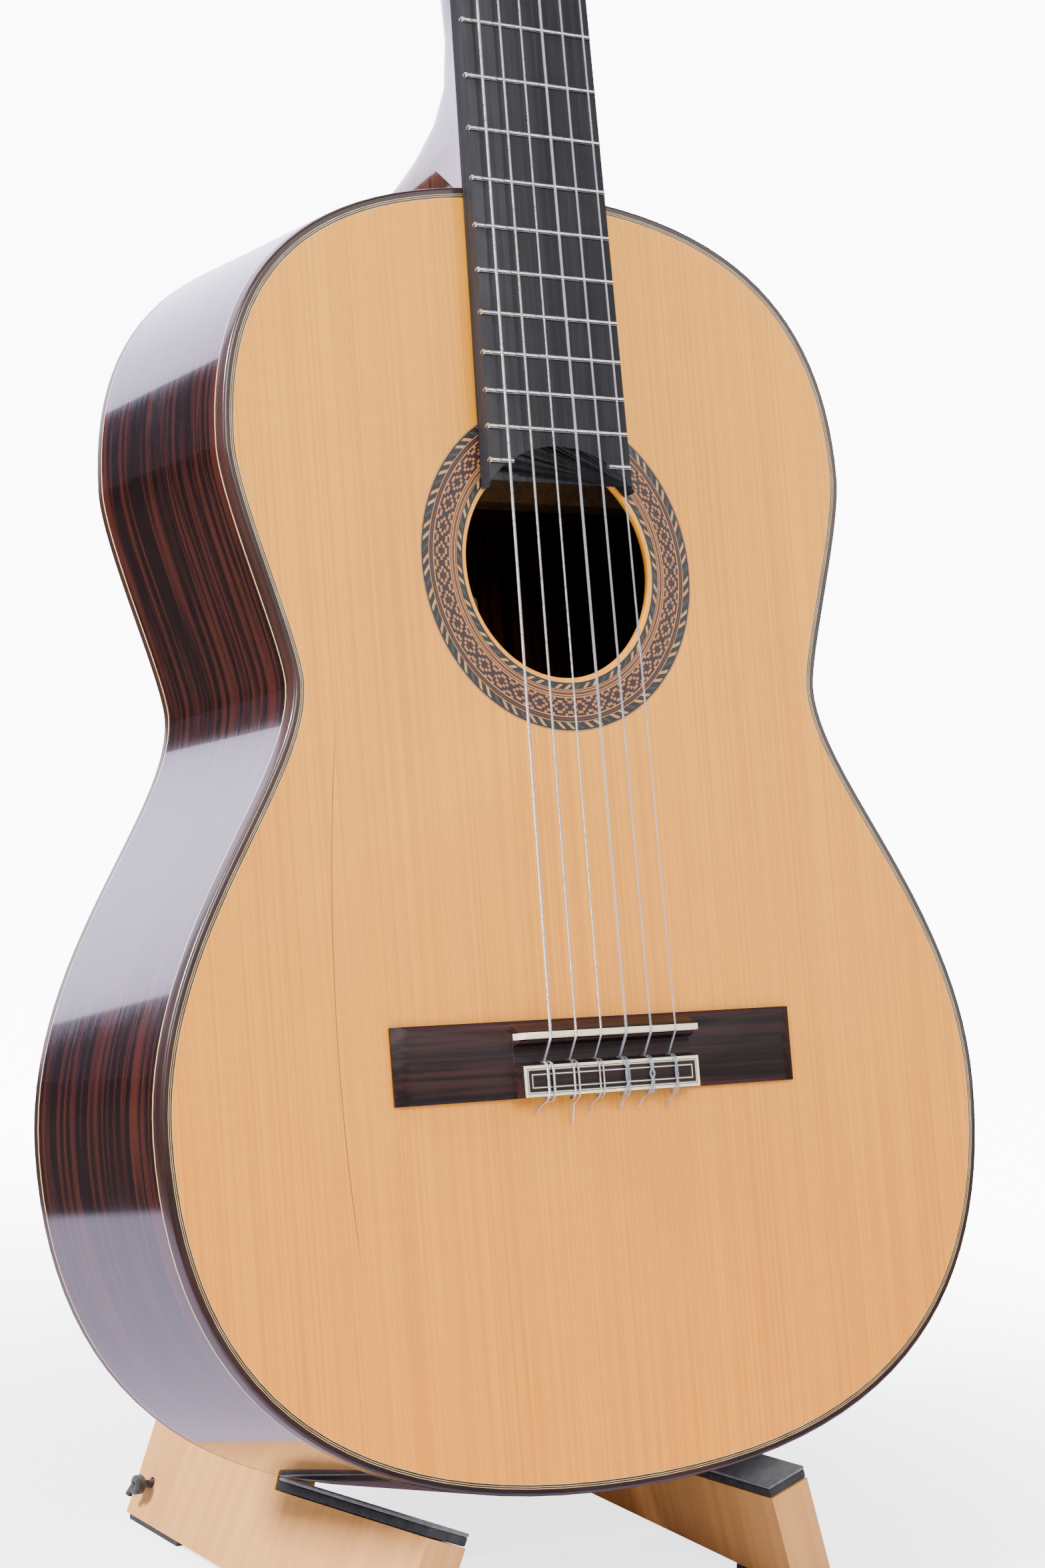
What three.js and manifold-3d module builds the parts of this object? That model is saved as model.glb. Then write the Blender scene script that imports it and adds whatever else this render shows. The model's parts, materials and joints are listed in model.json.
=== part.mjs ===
// A classical guitar resting on a folding wooden stand. Millimetres, +Z up, +X to the right as seen from
// the front, +Y towards the back. The object stands on z = 0, centred in x and y.
//
// The guitar is drawn in a frame of its own: x across the strings, y into the body with the soundboard's
// face at y = 0, and z up the neck with the saddle at z = 0. That frame then leans back on the stand.
// Each leg of the stand is drawn in a frame of its own too: its inner face is x = 0, z runs up the leg,
// and the origin is on the axis of the pivot that joins the two legs.
import * as THREE from "three";
import { mergeVertices } from "three/addons/utils/BufferGeometryUtils.js";
import Module from "manifold-3d";

const wasm = await Module();
wasm.setup();

// ---------------------------------------------------------------- driving dimensions
const GAP = 0.3; // glue line or clearance between neighbouring pieces

// How the guitar and the legs stand, in degrees
const LEAN = 14;
const SPLAY = 20;
const HEAD_ANGLE = 15;

// Outline of the guitar's body, half-widths and heights from the saddle, with the reach of each curve
const BODY_BOTTOM = -168;
const BODY_TOP = 322.6;
const LOWER_BOUT = { half: 187.4, z: -28 };
const WAIST = { half: 121.2, z: 131 };
const UPPER_BOUT = { half: 143.2, z: 217.7 };
const BOTTOM_REACH = 140;
const LOWER_BOUT_REACH = { down: 80, up: 71 };
const WAIST_REACH = { down: 36, up: 15 };
const UPPER_BOUT_REACH = { down: 21, up: 63 };
const TOP_REACH = 104;
const OUTLINE_STEPS = 10; // straight steps in each of the outline's curves

// Plates, sides and edges of the body
const RIM_DEPTH = 95.5;
const BACK_ARCH = 3;
const TOP_THICKNESS = 2.6;
const BACK_THICKNESS = 2.4;
const SIDE_THICKNESS = 2.3;
const BINDING_WIDTH = 2.6;
const FRONT_BINDING_HEIGHT = 6;
const BACK_BINDING_HEIGHT = 4;
const LINING = { width: 8, height: 15 };
const TAIL_BLOCK = { half: 30, thick: 14 };
const FOOT = { half: 32, length: 38 };

// Soundhole, rosette and braces
const SOUNDHOLE = { z: 176.4, radius: 42.3 };
const ROSETTE = { margin: 1.9, width: 18.8, thick: 1.2 };
const ROSETTE_INNER = SOUNDHOLE.radius + ROSETTE.margin;
const ROSETTE_OUTER = ROSETTE_INNER + ROSETTE.width;
const HARMONIC_BAR = { width: 8, height: 18, upper: 236, lower: 116 };
const FAN_BRACE = { width: 6, height: 5, length: 170, top: 104, spread: 24, fan: 5, count: 5 };
const BACK_BRACE = { width: 14, height: 15, places: [-75, 75, 225] };

// Neck and fingerboard
const SCALE_LENGTH = 650;
const SADDLE_SETBACK = 2;
const BODY_FRET = 12;
const FINGERBOARD = { nutWidth: 52, bodyWidth: 62.5, thick: 6.2, holeMargin: 1.3 };
const NECK_DEPTH = { nut: 15.5, body: 18.3 };
const HEEL = { shallower: 4.5, length: 15.5, half: 13, curve: 62 };
const HEEL_DEPTH = RIM_DEPTH - HEEL.shallower;
const HEEL_CAP = { half: 9.5, thick: 3.6 };
const NUT = { thick: 5, top: 8 };

// Bridge, saddle and strings
const BRIDGE = { length: 184.5, front: 6, back: -22.5, wing: 3.2, centre: 81.5, top: 8.6 };
const TIE_BLOCK_FRONT = -10.8;
const BRIDGE_CHANNEL = 3.6;
const SADDLE = { length: 80.9, thick: 2.4, top: 10.4, slot: 3 };
const STRING_SPREAD = { nut: 43, saddle: 58 };
const STRING_DIAMETERS = [1.1, 0.92, 0.78, 1.02, 0.84, 0.74]; // from the lowest string to the highest
const STRING_HOLE_HEIGHT = 5;
const STRING_SIDES = 6;

// Headstock and tuning machines
const HEAD = { length: 188, half: 34, neckHalf: 28, thick: 20, shoulder: 16, crest: 9 };
const SLOT = { inner: 10, outer: 26, bottom: 23, top: 133 };
const ROLLER = { radius: 5, axle: 3, depth: 10.5, first: 45, pitch: 35 };
const TUNER_PLATE = { thick: 1.4, bottom: 32, top: 138, width: 15 };
const GEAR = { teeth: 14, root: 5.2, tip: 6.6, thick: 2.6, standoff: 1.9 };
const WORM = { radius: 2.8, length: 10.4, shaft: 1.8, clearance: 0.5 };
const LUG = { thick: 2.2, half: 3.4, reach: 3.3 };
const BUTTON = { half: 7.5, thick: 9, length: 19, start: 25 };

// Stand
const LEG_THICKNESS = 18;
const PIVOT_Z = 17.5; // height of the stand's pivot above the saddle
const SEAT_DROP = 0.56; // from the lowest edge of the guitar's back to the level of the seat's wood
const SEAT_FRONT = -37; // y of the seat's front, measured from the saddle
const SEAT_TILT = 6; // degrees that a seat falls towards its upright
const TOE = -40;
const HEEL_Y = 151;
const LEG_BOTTOM = -215; // z of the legs' sawn bottoms, measured from the saddle
const UPRIGHT_DEPTH = 92;
const HEEL_RISE = 33;
const FRONT_ARM_DEPTH = 42;
const ARM_GAP = 8;
const LONG_ARM = 322; // along the leg from the pivot to the top of the long arm
const SHORT_ARM = 186;
const ARM_CLEARANCE = 6;
const ARM_CORNER = 7; // rounding at the ends of the arms
const PAD = { seat: 5, back: 4, margin: 0.5 };
const KNUCKLE = { radius: 12, clearance: 0.7 };
const PIVOT_PIN = { radius: 4, head: 8, headThick: 4 };
const RUBBER_FOOT = { thick: 2.5, length: 38, inset: 1 };
const CORD = { radius: 1.5, hole: 2.1, knot: 4.2, y: 141, z: -201 };

// ---------------------------------------------------------------- materials
const material = (color, roughness, metalness = 0) =>
  new THREE.MeshStandardMaterial({ color, roughness, metalness });
const SPRUCE = material(0xe0a862, 0.35);
const BARE_SPRUCE = material(0xd9bd8a, 0.7);
const ROSEWOOD = material(0x3a1d16, 0.18);
const DARK_BINDING = material(0x24120f, 0.2);
const MAHOGANY = material(0x4a2a1c, 0.3);
const EBONY = material(0x24242a, 0.5);
const MOSAIC = material(0x8a6040, 0.35);
const BONE = material(0xefe6d2, 0.4);
const NYLON = material(0xe6e6ea, 0.25);
const WOUND_SILVER = material(0xc8cad0, 0.3, 0.9);
const BRASS = material(0xc9a24c, 0.25, 1);
const STEEL = material(0xb4b6b8, 0.3, 1);
const PEARLOID = material(0xf0ead8, 0.3);
const BEECH = material(0xe6cfa4, 0.5);
const FOAM = material(0x141414, 0.9);
const RUBBER = material(0x101010, 0.8);
const CORD_BLACK = material(0x101012, 0.9);

// ---------------------------------------------------------------- solids
const radians = THREE.MathUtils.degToRad;

// A closed geometry as a solid that can be cut and joined
function solid(geometry) {
  const bare = geometry.clone();
  bare.deleteAttribute("normal");
  bare.deleteAttribute("uv");
  const merged = mergeVertices(bare, 1e-4);
  return new wasm.Manifold(
    new wasm.Mesh({
      numProp: 3,
      vertProperties: merged.attributes.position.array,
      triVerts: new Uint32Array(merged.index.array),
    }),
  );
}

function geometryOf(body) {
  const mesh = body.getMesh();
  const geometry = new THREE.BufferGeometry();
  geometry.setAttribute("position", new THREE.BufferAttribute(new Float32Array(mesh.vertProperties), 3));
  geometry.setIndex(new THREE.BufferAttribute(new Uint32Array(mesh.triVerts), 1));
  geometry.computeVertexNormals();
  return geometry;
}

const cut = (base, ...tools) =>
  geometryOf(tools.reduce((body, tool) => body.subtract(solid(tool)), solid(base)));
const join = (...pieces) => geometryOf(pieces.map(solid).reduce((body, piece) => body.add(piece)));
const common = (a, b) => geometryOf(solid(a).intersect(solid(b)));
const moved = (geometry, matrix) => geometry.clone().applyMatrix4(matrix);

function box(x0, x1, y0, y1, z0, z1) {
  const geometry = new THREE.BoxGeometry(x1 - x0, y1 - y0, z1 - z0);
  return geometry.translate((x0 + x1) / 2, (y0 + y1) / 2, (z0 + z1) / 2);
}

// A box between two distances from the middle, on the left (side -1) or the right (side 1)
const sideBox = (side, a, b, ...rest) => (side < 0 ? box(-b, -a, ...rest) : box(a, b, ...rest));

// A shape drawn in x and z, given thickness from y0 to y1
function plate(shape, y0, y1, curveSegments = 12) {
  const options = { depth: y1 - y0, bevelEnabled: false, curveSegments };
  return new THREE.ExtrudeGeometry(shape, options).rotateX(Math.PI / 2).translate(0, y1, 0);
}

// A shape drawn in y and z, given thickness from x0 to x1
function profile(shape, x0, x1, curveSegments = 6) {
  const options = { depth: x1 - x0, bevelEnabled: false, curveSegments };
  const turn = new THREE.Matrix4().makeBasis(
    new THREE.Vector3(0, 1, 0),
    new THREE.Vector3(0, 0, 1),
    new THREE.Vector3(1, 0, 0),
  );
  return new THREE.ExtrudeGeometry(shape, options).applyMatrix4(turn).translate(x0, 0, 0);
}

const polygon = (points) => new THREE.Shape(points.map(([a, b]) => new THREE.Vector2(a, b)));

// Round bars along x, along y and along z
function barX(radius, x0, x1, y, z, sides = 16) {
  const bar = new THREE.CylinderGeometry(radius, radius, x1 - x0, sides).rotateZ(Math.PI / 2);
  return bar.translate((x0 + x1) / 2, y, z);
}
function barY(radius, y0, y1, x, z, sides = 16) {
  const bar = new THREE.CylinderGeometry(radius, radius, y1 - y0, sides);
  return bar.translate(x, (y0 + y1) / 2, z);
}
const sideBar = (side, radius, a, b, ...rest) =>
  side < 0 ? barX(radius, -b, -a, ...rest) : barX(radius, a, b, ...rest);

// Closed skin over a row of rings that hold the same number of points, each running anticlockwise about
// the direction that the row advances in. End rings that fold flat onto a line need no caps.
function loft(rings, capped = true) {
  const count = rings[0].length;
  const places = rings.flat();
  const same = (a, b) => places[a].every((value, axis) => Math.abs(value - places[b][axis]) < 1e-3);
  const index = [];
  const addTriangle = (a, b, c) => {
    if (!same(a, b) && !same(b, c) && !same(c, a)) index.push(a, b, c);
  };
  for (let r = 0; r + 1 < rings.length; r += 1) {
    for (let i = 0; i < count; i += 1) {
      const a = r * count + i;
      const b = r * count + ((i + 1) % count);
      addTriangle(a, b, b + count);
      addTriangle(a, b + count, a + count);
    }
  }
  const last = (rings.length - 1) * count;
  for (let i = 1; capped && i + 1 < count; i += 1) {
    addTriangle(0, i + 1, i);
    addTriangle(last, last + i, last + i + 1);
  }
  const geometry = new THREE.BufferGeometry();
  geometry.setAttribute("position", new THREE.Float32BufferAttribute(rings.flat(2), 3));
  geometry.setIndex(index);
  return geometry;
}

// A route through given points whose steps are the points themselves
class Route extends THREE.Curve {
  constructor(points) {
    super();
    this.points = points;
  }
  getPoint(t, target = new THREE.Vector3()) {
    const place = THREE.MathUtils.clamp(t, 0, 1) * (this.points.length - 1);
    const first = Math.min(Math.floor(place), this.points.length - 2);
    return target.lerpVectors(this.points[first], this.points[first + 1], place - first);
  }
  getUtoTmapping(u) {
    return u;
  }
}

function tube(points, radius, sides) {
  const section = polygon(
    Array.from({ length: sides }, (_, i) => {
      const angle = (2 * Math.PI * i) / sides;
      return [radius * Math.cos(angle), radius * Math.sin(angle)];
    }),
  );
  const steps = points.length - 1;
  return new THREE.ExtrudeGeometry(section, { steps, extrudePath: new Route(points) });
}

// ---------------------------------------------------------------- assembly
const object = new THREE.Group();
const guitar = new THREE.Group();
guitar.rotation.x = -radians(LEAN);
const head = new THREE.Group();
const HEAD_START = SCALE_LENGTH - SADDLE_SETBACK + GAP + NUT.thick + GAP;
head.position.z = HEAD_START;
head.rotation.x = -radians(HEAD_ANGLE);
guitar.add(head);
object.add(guitar);
object.updateMatrixWorld(true);

function addMesh(parent, name, geometry, finish) {
  const mesh = new THREE.Mesh(geometry, finish);
  mesh.name = name;
  parent.add(mesh);
}

// ---------------------------------------------------------------- the body's outline
const point = (x, z) => new THREE.Vector2(x, z);
const halfOutline = [
  new THREE.CubicBezierCurve(
    point(0, BODY_BOTTOM),
    point(BOTTOM_REACH, BODY_BOTTOM),
    point(LOWER_BOUT.half, LOWER_BOUT.z - LOWER_BOUT_REACH.down),
    point(LOWER_BOUT.half, LOWER_BOUT.z),
  ),
  new THREE.CubicBezierCurve(
    point(LOWER_BOUT.half, LOWER_BOUT.z),
    point(LOWER_BOUT.half, LOWER_BOUT.z + LOWER_BOUT_REACH.up),
    point(WAIST.half, WAIST.z - WAIST_REACH.down),
    point(WAIST.half, WAIST.z),
  ),
  new THREE.CubicBezierCurve(
    point(WAIST.half, WAIST.z),
    point(WAIST.half, WAIST.z + WAIST_REACH.up),
    point(UPPER_BOUT.half, UPPER_BOUT.z - UPPER_BOUT_REACH.down),
    point(UPPER_BOUT.half, UPPER_BOUT.z),
  ),
  new THREE.CubicBezierCurve(
    point(UPPER_BOUT.half, UPPER_BOUT.z),
    point(UPPER_BOUT.half, UPPER_BOUT.z + UPPER_BOUT_REACH.up),
    point(TOP_REACH, BODY_TOP),
    point(0, BODY_TOP),
  ),
];

// Right half of the outline from the bottom to the top, moved inwards by a distance
function insetHalf(inset) {
  const points = [];
  halfOutline.forEach((curve, number) => {
    for (let step = number === 0 ? 0 : 1; step <= OUTLINE_STEPS; step += 1) {
      const t = step / OUTLINE_STEPS;
      const place = curve.getPoint(t);
      const along = curve.getTangent(t);
      points.push(point(place.x - inset * along.y, place.y + inset * along.x));
    }
  });
  points[0].x = 0;
  points[points.length - 1].x = 0;
  return points;
}

function outline(inset) {
  const right = insetHalf(inset);
  const left = right.slice(1, -1).reverse().map((p) => point(-p.x, p.y));
  return [...right, ...left];
}

const outlinePlate = (inset, y0, y1) => plate(new THREE.Shape(outline(inset)), y0, y1);

function rim(outer, inner, y0, y1) {
  const shape = new THREE.Shape(outline(outer));
  shape.holes.push(new THREE.Path(outline(inner)));
  return plate(shape, y0, y1);
}

const FAR = 400; // reach of a cutting box, past every piece of the body
const PLATE_INSET = BINDING_WIDTH + GAP;
const LINING_INSET = Math.max(SIDE_THICKNESS, BINDING_WIDTH) + GAP;
const BRACE_INSET = LINING_INSET + LINING.width + GAP;
const INSIDE_FRONT = TOP_THICKNESS + GAP;
const INSIDE_BACK = RIM_DEPTH - BACK_THICKNESS - GAP;

// ---------------------------------------------------------------- soundboard, rosette and braces
const fretPlace = (fret) => SCALE_LENGTH * 2 ** (-fret / 12) - SADDLE_SETBACK;
const NUT_LINE = fretPlace(0);
const BODY_JOINT = fretPlace(BODY_FRET);
const boardHalf = (z) =>
  (FINGERBOARD.nutWidth +
    ((FINGERBOARD.bodyWidth - FINGERBOARD.nutWidth) * (NUT_LINE - z)) / (NUT_LINE - BODY_JOINT)) /
  2;

function addTop() {
  const hole = barY(SOUNDHOLE.radius, -1, TOP_THICKNESS + 1, 0, SOUNDHOLE.z, 48);
  const channelShape = new THREE.Shape().absarc(0, SOUNDHOLE.z, ROSETTE_OUTER + GAP, 0, 2 * Math.PI);
  channelShape.holes.push(new THREE.Path().absarc(0, SOUNDHOLE.z, ROSETTE_INNER - GAP, 0, 2 * Math.PI));
  const channel = plate(channelShape, -1, ROSETTE.thick + GAP, 24);
  addMesh(guitar, "soundboard", cut(outlinePlate(PLATE_INSET, 0, TOP_THICKNESS), hole, channel), SPRUCE);
  const ringShape = new THREE.Shape().absarc(0, SOUNDHOLE.z, ROSETTE_OUTER, 0, 2 * Math.PI);
  ringShape.holes.push(new THREE.Path().absarc(0, SOUNDHOLE.z, ROSETTE_INNER, 0, 2 * Math.PI));
  addMesh(guitar, "rosette", plate(ringShape, 0, ROSETTE.thick, 24), MOSAIC);
}

const insideBody = outlinePlate(BRACE_INSET, INSIDE_FRONT, INSIDE_BACK);

function addTopBraces() {
  const { width, height, upper, lower } = HARMONIC_BAR;
  for (const [name, z] of [["upper", upper], ["lower", lower]]) {
    const bar = box(-FAR, FAR, INSIDE_FRONT, INSIDE_FRONT + height, z - width / 2, z + width / 2);
    addMesh(guitar, `harmonic_bar_${name}`, common(bar, insideBody), BARE_SPRUCE);
  }
  for (let i = 0; i < FAN_BRACE.count; i += 1) {
    const place = i - (FAN_BRACE.count - 1) / 2;
    const half = FAN_BRACE.width / 2;
    const brace = box(-half, half, INSIDE_FRONT, INSIDE_FRONT + FAN_BRACE.height, -FAN_BRACE.length, 0);
    brace.rotateY(radians(place * FAN_BRACE.fan)).translate(place * FAN_BRACE.spread, 0, FAN_BRACE.top);
    addMesh(guitar, `fan_brace_${i + 1}`, brace, BARE_SPRUCE);
  }
}

// ---------------------------------------------------------------- back plate
// The arch rises from the rim to the middle line over a few rows of points
function addBack() {
  const edge = insetHalf(PLATE_INSET);
  const rows = [0, 0.15, 0.45, 1];
  const spine = (z) => Math.round(THREE.MathUtils.clamp(z, LOWER_BOUT.z, UPPER_BOUT.z));
  const loop = [...edge, ...edge.slice(1, -1).reverse().map((p) => point(-p.x, p.y))];
  const rowPoints = (share, y) => loop.map((p) => [p.x * (1 - share), y, p.y + (spine(p.y) - p.y) * share]);
  const arch = (share) => BACK_ARCH * (1 - (1 - share) ** 2);
  const outer = rows.map((share) => rowPoints(share, RIM_DEPTH + arch(share)));
  const inner = rows.map((share) => rowPoints(share, RIM_DEPTH - BACK_THICKNESS + arch(share)));
  addMesh(guitar, "back_plate", loft([...outer.reverse(), ...inner], false), ROSEWOOD);
}

function addBackBraces() {
  const { width, height, places } = BACK_BRACE;
  places.forEach((z, i) => {
    const brace = box(-FAR, FAR, INSIDE_BACK - height, INSIDE_BACK, z - width / 2, z + width / 2);
    addMesh(guitar, `back_brace_${i + 1}`, common(brace, insideBody), BARE_SPRUCE);
  });
}

// ---------------------------------------------------------------- sides, bindings, linings, tail block
const SIDE_FRONT = FRONT_BINDING_HEIGHT + GAP;
const SIDE_BACK = RIM_DEPTH - BACK_BINDING_HEIGHT - GAP;
const underBoard = box(
  -boardHalf(BODY_TOP) - GAP,
  boardHalf(BODY_TOP) + GAP,
  -1,
  FRONT_BINDING_HEIGHT + 1,
  BODY_TOP - FAR / 4,
  FAR,
);
const SLOT_START = HEEL.half + 1; // half-width of the neck's core that the two sides stop at

function addRim() {
  const sides = rim(0, SIDE_THICKNESS, SIDE_FRONT, SIDE_BACK);
  const core = box(-SLOT_START - GAP, SLOT_START + GAP, 0, RIM_DEPTH, 0, FAR);
  const half = {
    bass: box(-GAP / 2, FAR, -1, FAR, -FAR, FAR),
    treble: box(-FAR, GAP / 2, -1, FAR, -FAR, FAR),
  };
  addMesh(guitar, "bass_side", cut(sides, core, half.bass), ROSEWOOD);
  addMesh(guitar, "treble_side", cut(sides, core, half.treble), ROSEWOOD);
  const frontRing = rim(0, BINDING_WIDTH, 0, FRONT_BINDING_HEIGHT);
  addMesh(guitar, "front_binding", cut(frontRing, underBoard), DARK_BINDING);
  const backRing = rim(0, BINDING_WIDTH, RIM_DEPTH - BACK_BINDING_HEIGHT, RIM_DEPTH);
  addMesh(guitar, "back_binding", backRing, DARK_BINDING);
}

function addLinings() {
  const lining = (y0, y1) => rim(LINING_INSET, LINING_INSET + LINING.width, y0, y1);
  const foot = box(-FOOT.half - GAP, FOOT.half + GAP, 0, FAR, 0, FAR);
  const front = lining(INSIDE_FRONT, INSIDE_FRONT + LINING.height);
  const back = lining(INSIDE_BACK - LINING.height, INSIDE_BACK);
  addMesh(guitar, "front_lining", cut(front, foot), BARE_SPRUCE);
  addMesh(guitar, "back_lining", cut(back, foot), BARE_SPRUCE);
  const { half, thick } = TAIL_BLOCK;
  const y0 = INSIDE_FRONT + LINING.height + GAP;
  const y1 = INSIDE_BACK - LINING.height - GAP;
  const block = box(-half, half, y0, y1, -FAR, BODY_BOTTOM + LINING_INSET + thick);
  addMesh(guitar, "tail_block", common(block, outlinePlate(LINING_INSET, y0, y1)), MAHOGANY);
}

// ---------------------------------------------------------------- neck
const NECK_SIDES = 14;

// One section of the neck: flat on top, round below, drawn in to the heel's width where it is deep
function neckSection(z, depth, heelShare) {
  const half = boardHalf(z);
  const ring = [];
  for (let i = 0; i <= NECK_SIDES; i += 1) {
    const angle = (Math.PI * i) / NECK_SIDES;
    const reach = Math.sign(Math.cos(angle)) * Math.abs(Math.cos(angle)) ** 0.7;
    const drop = Math.min(1, Math.sin(angle) ** 0.8 * (1 + 0.12 * heelShare));
    const width = THREE.MathUtils.lerp(half, HEEL.half + 3, heelShare * drop ** 0.6);
    ring.push([reach * width, depth * drop, z]);
  }
  return ring;
}

function addNeck() {
  const heelTop = BODY_TOP + HEEL.length;
  const throat = heelTop + HEEL.curve;
  const rings = [neckSection(BODY_TOP - FOOT.length / 4, HEEL_DEPTH, 1), neckSection(heelTop, HEEL_DEPTH, 1)];
  for (const share of [0.06, 0.15, 0.28, 0.45, 0.7, 1]) {
    const depth = NECK_DEPTH.body + (HEEL_DEPTH - NECK_DEPTH.body) * (1 - share) ** 3.2;
    rings.push(neckSection(heelTop + (throat - heelTop) * share, depth, (1 - share) ** 1.5));
  }
  rings.push(neckSection(NUT_LINE - 12, NECK_DEPTH.nut, 0));
  rings.push(neckSection(HEAD_START - GAP / 2, NECK_DEPTH.nut + 2.5, 0));
  const shaft = loft(rings);
  const footLow = BODY_TOP - FOOT.length;
  const foot = box(-FOOT.half, FOOT.half, INSIDE_FRONT, INSIDE_BACK, footLow, BODY_TOP - LINING_INSET);
  const slots = [-1, 1].map((side) =>
    common(
      rim(-GAP, LINING_INSET, FRONT_BINDING_HEIGHT, SIDE_BACK + 2 * GAP),
      sideBox(side, SLOT_START, FAR, 0, RIM_DEPTH, 0, FAR),
    ),
  );
  const inlet = outlinePlate(BINDING_WIDTH, -1, INSIDE_FRONT);
  const backInlet = outlinePlate(-GAP, HEEL_DEPTH + GAP / 2, RIM_DEPTH + 1);
  const kept = common(foot, outlinePlate(LINING_INSET, INSIDE_FRONT, HEEL_DEPTH));
  addMesh(guitar, "neck", cut(join(shaft, kept), ...slots, inlet, backInlet), MAHOGANY);

  const capShape = new THREE.Shape();
  capShape.moveTo(-HEEL_CAP.half, BODY_TOP + GAP);
  capShape.lineTo(HEEL_CAP.half, BODY_TOP + GAP);
  capShape.lineTo(HEEL_CAP.half, heelTop - HEEL_CAP.half / 2);
  capShape.quadraticCurveTo(HEEL_CAP.half, heelTop, 0, heelTop);
  capShape.quadraticCurveTo(-HEEL_CAP.half, heelTop, -HEEL_CAP.half, heelTop - HEEL_CAP.half / 2);
  const cap = plate(capShape, HEEL_DEPTH + GAP, HEEL_DEPTH + GAP + HEEL_CAP.thick, 5);
  addMesh(guitar, "heel_cap", cap, ROSEWOOD);
}

function addFingerboard() {
  const end = SOUNDHOLE.z;
  const blank = polygon([
    [-boardHalf(end), end],
    [boardHalf(end), end],
    [boardHalf(NUT_LINE), NUT_LINE],
    [-boardHalf(NUT_LINE), NUT_LINE],
  ]);
  const top = -GAP - FINGERBOARD.thick;
  const mouth = barY(SOUNDHOLE.radius + FINGERBOARD.holeMargin, top - 1, 1, 0, SOUNDHOLE.z, 64);
  const hornEnd = Math.sqrt((SOUNDHOLE.radius + FINGERBOARD.holeMargin) ** 2 - boardHalf(SOUNDHOLE.z) ** 2);
  const below = box(-FAR, FAR, top - 1, 1, 0, SOUNDHOLE.z + hornEnd * 0.94);
  addMesh(guitar, "fingerboard", cut(plate(blank, top, -GAP), mouth, below), EBONY);
  const nutHalf = boardHalf(NUT_LINE);
  const nut = box(-nutHalf, nutHalf, -NUT.top, -GAP, NUT_LINE + GAP, NUT_LINE + GAP + NUT.thick);
  addMesh(guitar, "nut", nut, BONE);
}

// ---------------------------------------------------------------- bridge and saddle
const stringX = (number, spread) => (number / (STRING_DIAMETERS.length - 1) - 0.5) * spread;

function addBridge() {
  const { length, front, back, wing, centre, top } = BRIDGE;
  const bevel = wing - 1;
  const wings = profile(
    polygon([
      [-wing + 1, back],
      [-wing, back + 1.5],
      [-wing, front - 1.5],
      [-wing + 1, front],
      [-GAP, front],
      [-GAP, back],
    ]),
    -length / 2,
    length / 2,
  );
  const slope = polygon([
    [length / 2 + 1, -GAP],
    [length / 2 + 1, -wing - 1],
    [length / 2 - 3 * bevel, -wing - 1],
    [length / 2 - 3 * bevel, -wing],
    [length / 2, -1.2],
  ]);
  const endCut = new THREE.ExtrudeGeometry(slope, { depth: FAR, bevelEnabled: false });
  endCut.translate(0, 0, -FAR / 2);
  const otherCut = endCut.clone().rotateZ(Math.PI).scale(1, -1, 1);
  otherCut.setIndex([...Array(otherCut.attributes.position.count).keys()].reverse());
  const block = profile(
    polygon([
      [-GAP, back],
      [-top, back],
      [-top, TIE_BLOCK_FRONT],
      [-BRIDGE_CHANNEL, TIE_BLOCK_FRONT + 1.2],
      [-BRIDGE_CHANNEL, -SADDLE.thick / 2 - 2.4],
      [-top + 1.4, -SADDLE.thick / 2 - 1.2],
      [-top + 1.4, SADDLE.thick / 2 + 1],
      [-wing, front - 1.2],
      [-GAP, front],
    ]),
    -centre / 2,
    centre / 2,
  );
  const half = SADDLE.thick / 2 + GAP;
  const slot = box(-SADDLE.length / 2 - GAP, SADDLE.length / 2 + GAP, -top - 1, -SADDLE.slot, -half, half);
  const holes = STRING_DIAMETERS.map((diameter, i) => {
    const radius = diameter / 2 + GAP + 0.1;
    const hole = new THREE.CylinderGeometry(radius, radius, 20, 8).rotateX(Math.PI / 2);
    const x = stringX(i, STRING_SPREAD.saddle);
    return hole.translate(x, -STRING_HOLE_HEIGHT, (TIE_BLOCK_FRONT + back) / 2);
  });
  addMesh(guitar, "bridge", cut(join(wings, block), endCut, otherCut, slot, ...holes), ROSEWOOD);
  const saddle = box(
    -SADDLE.length / 2,
    SADDLE.length / 2,
    -SADDLE.top,
    -SADDLE.slot - GAP,
    -SADDLE.thick / 2,
    SADDLE.thick / 2,
  );
  addMesh(guitar, "saddle", saddle, BONE);
}

// ---------------------------------------------------------------- headstock and tuning machines
const rollerPlace = (step) => ROLLER.first + step * ROLLER.pitch;
const PLATE_FACE = HEAD.half + GAP + TUNER_PLATE.thick;
const GEAR_FACE = PLATE_FACE + GEAR.standoff;
const GEAR_MIDDLE = GEAR_FACE + GEAR.thick / 2;
const WORM_RISE = GEAR.tip + WORM.clearance + WORM.radius;

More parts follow.
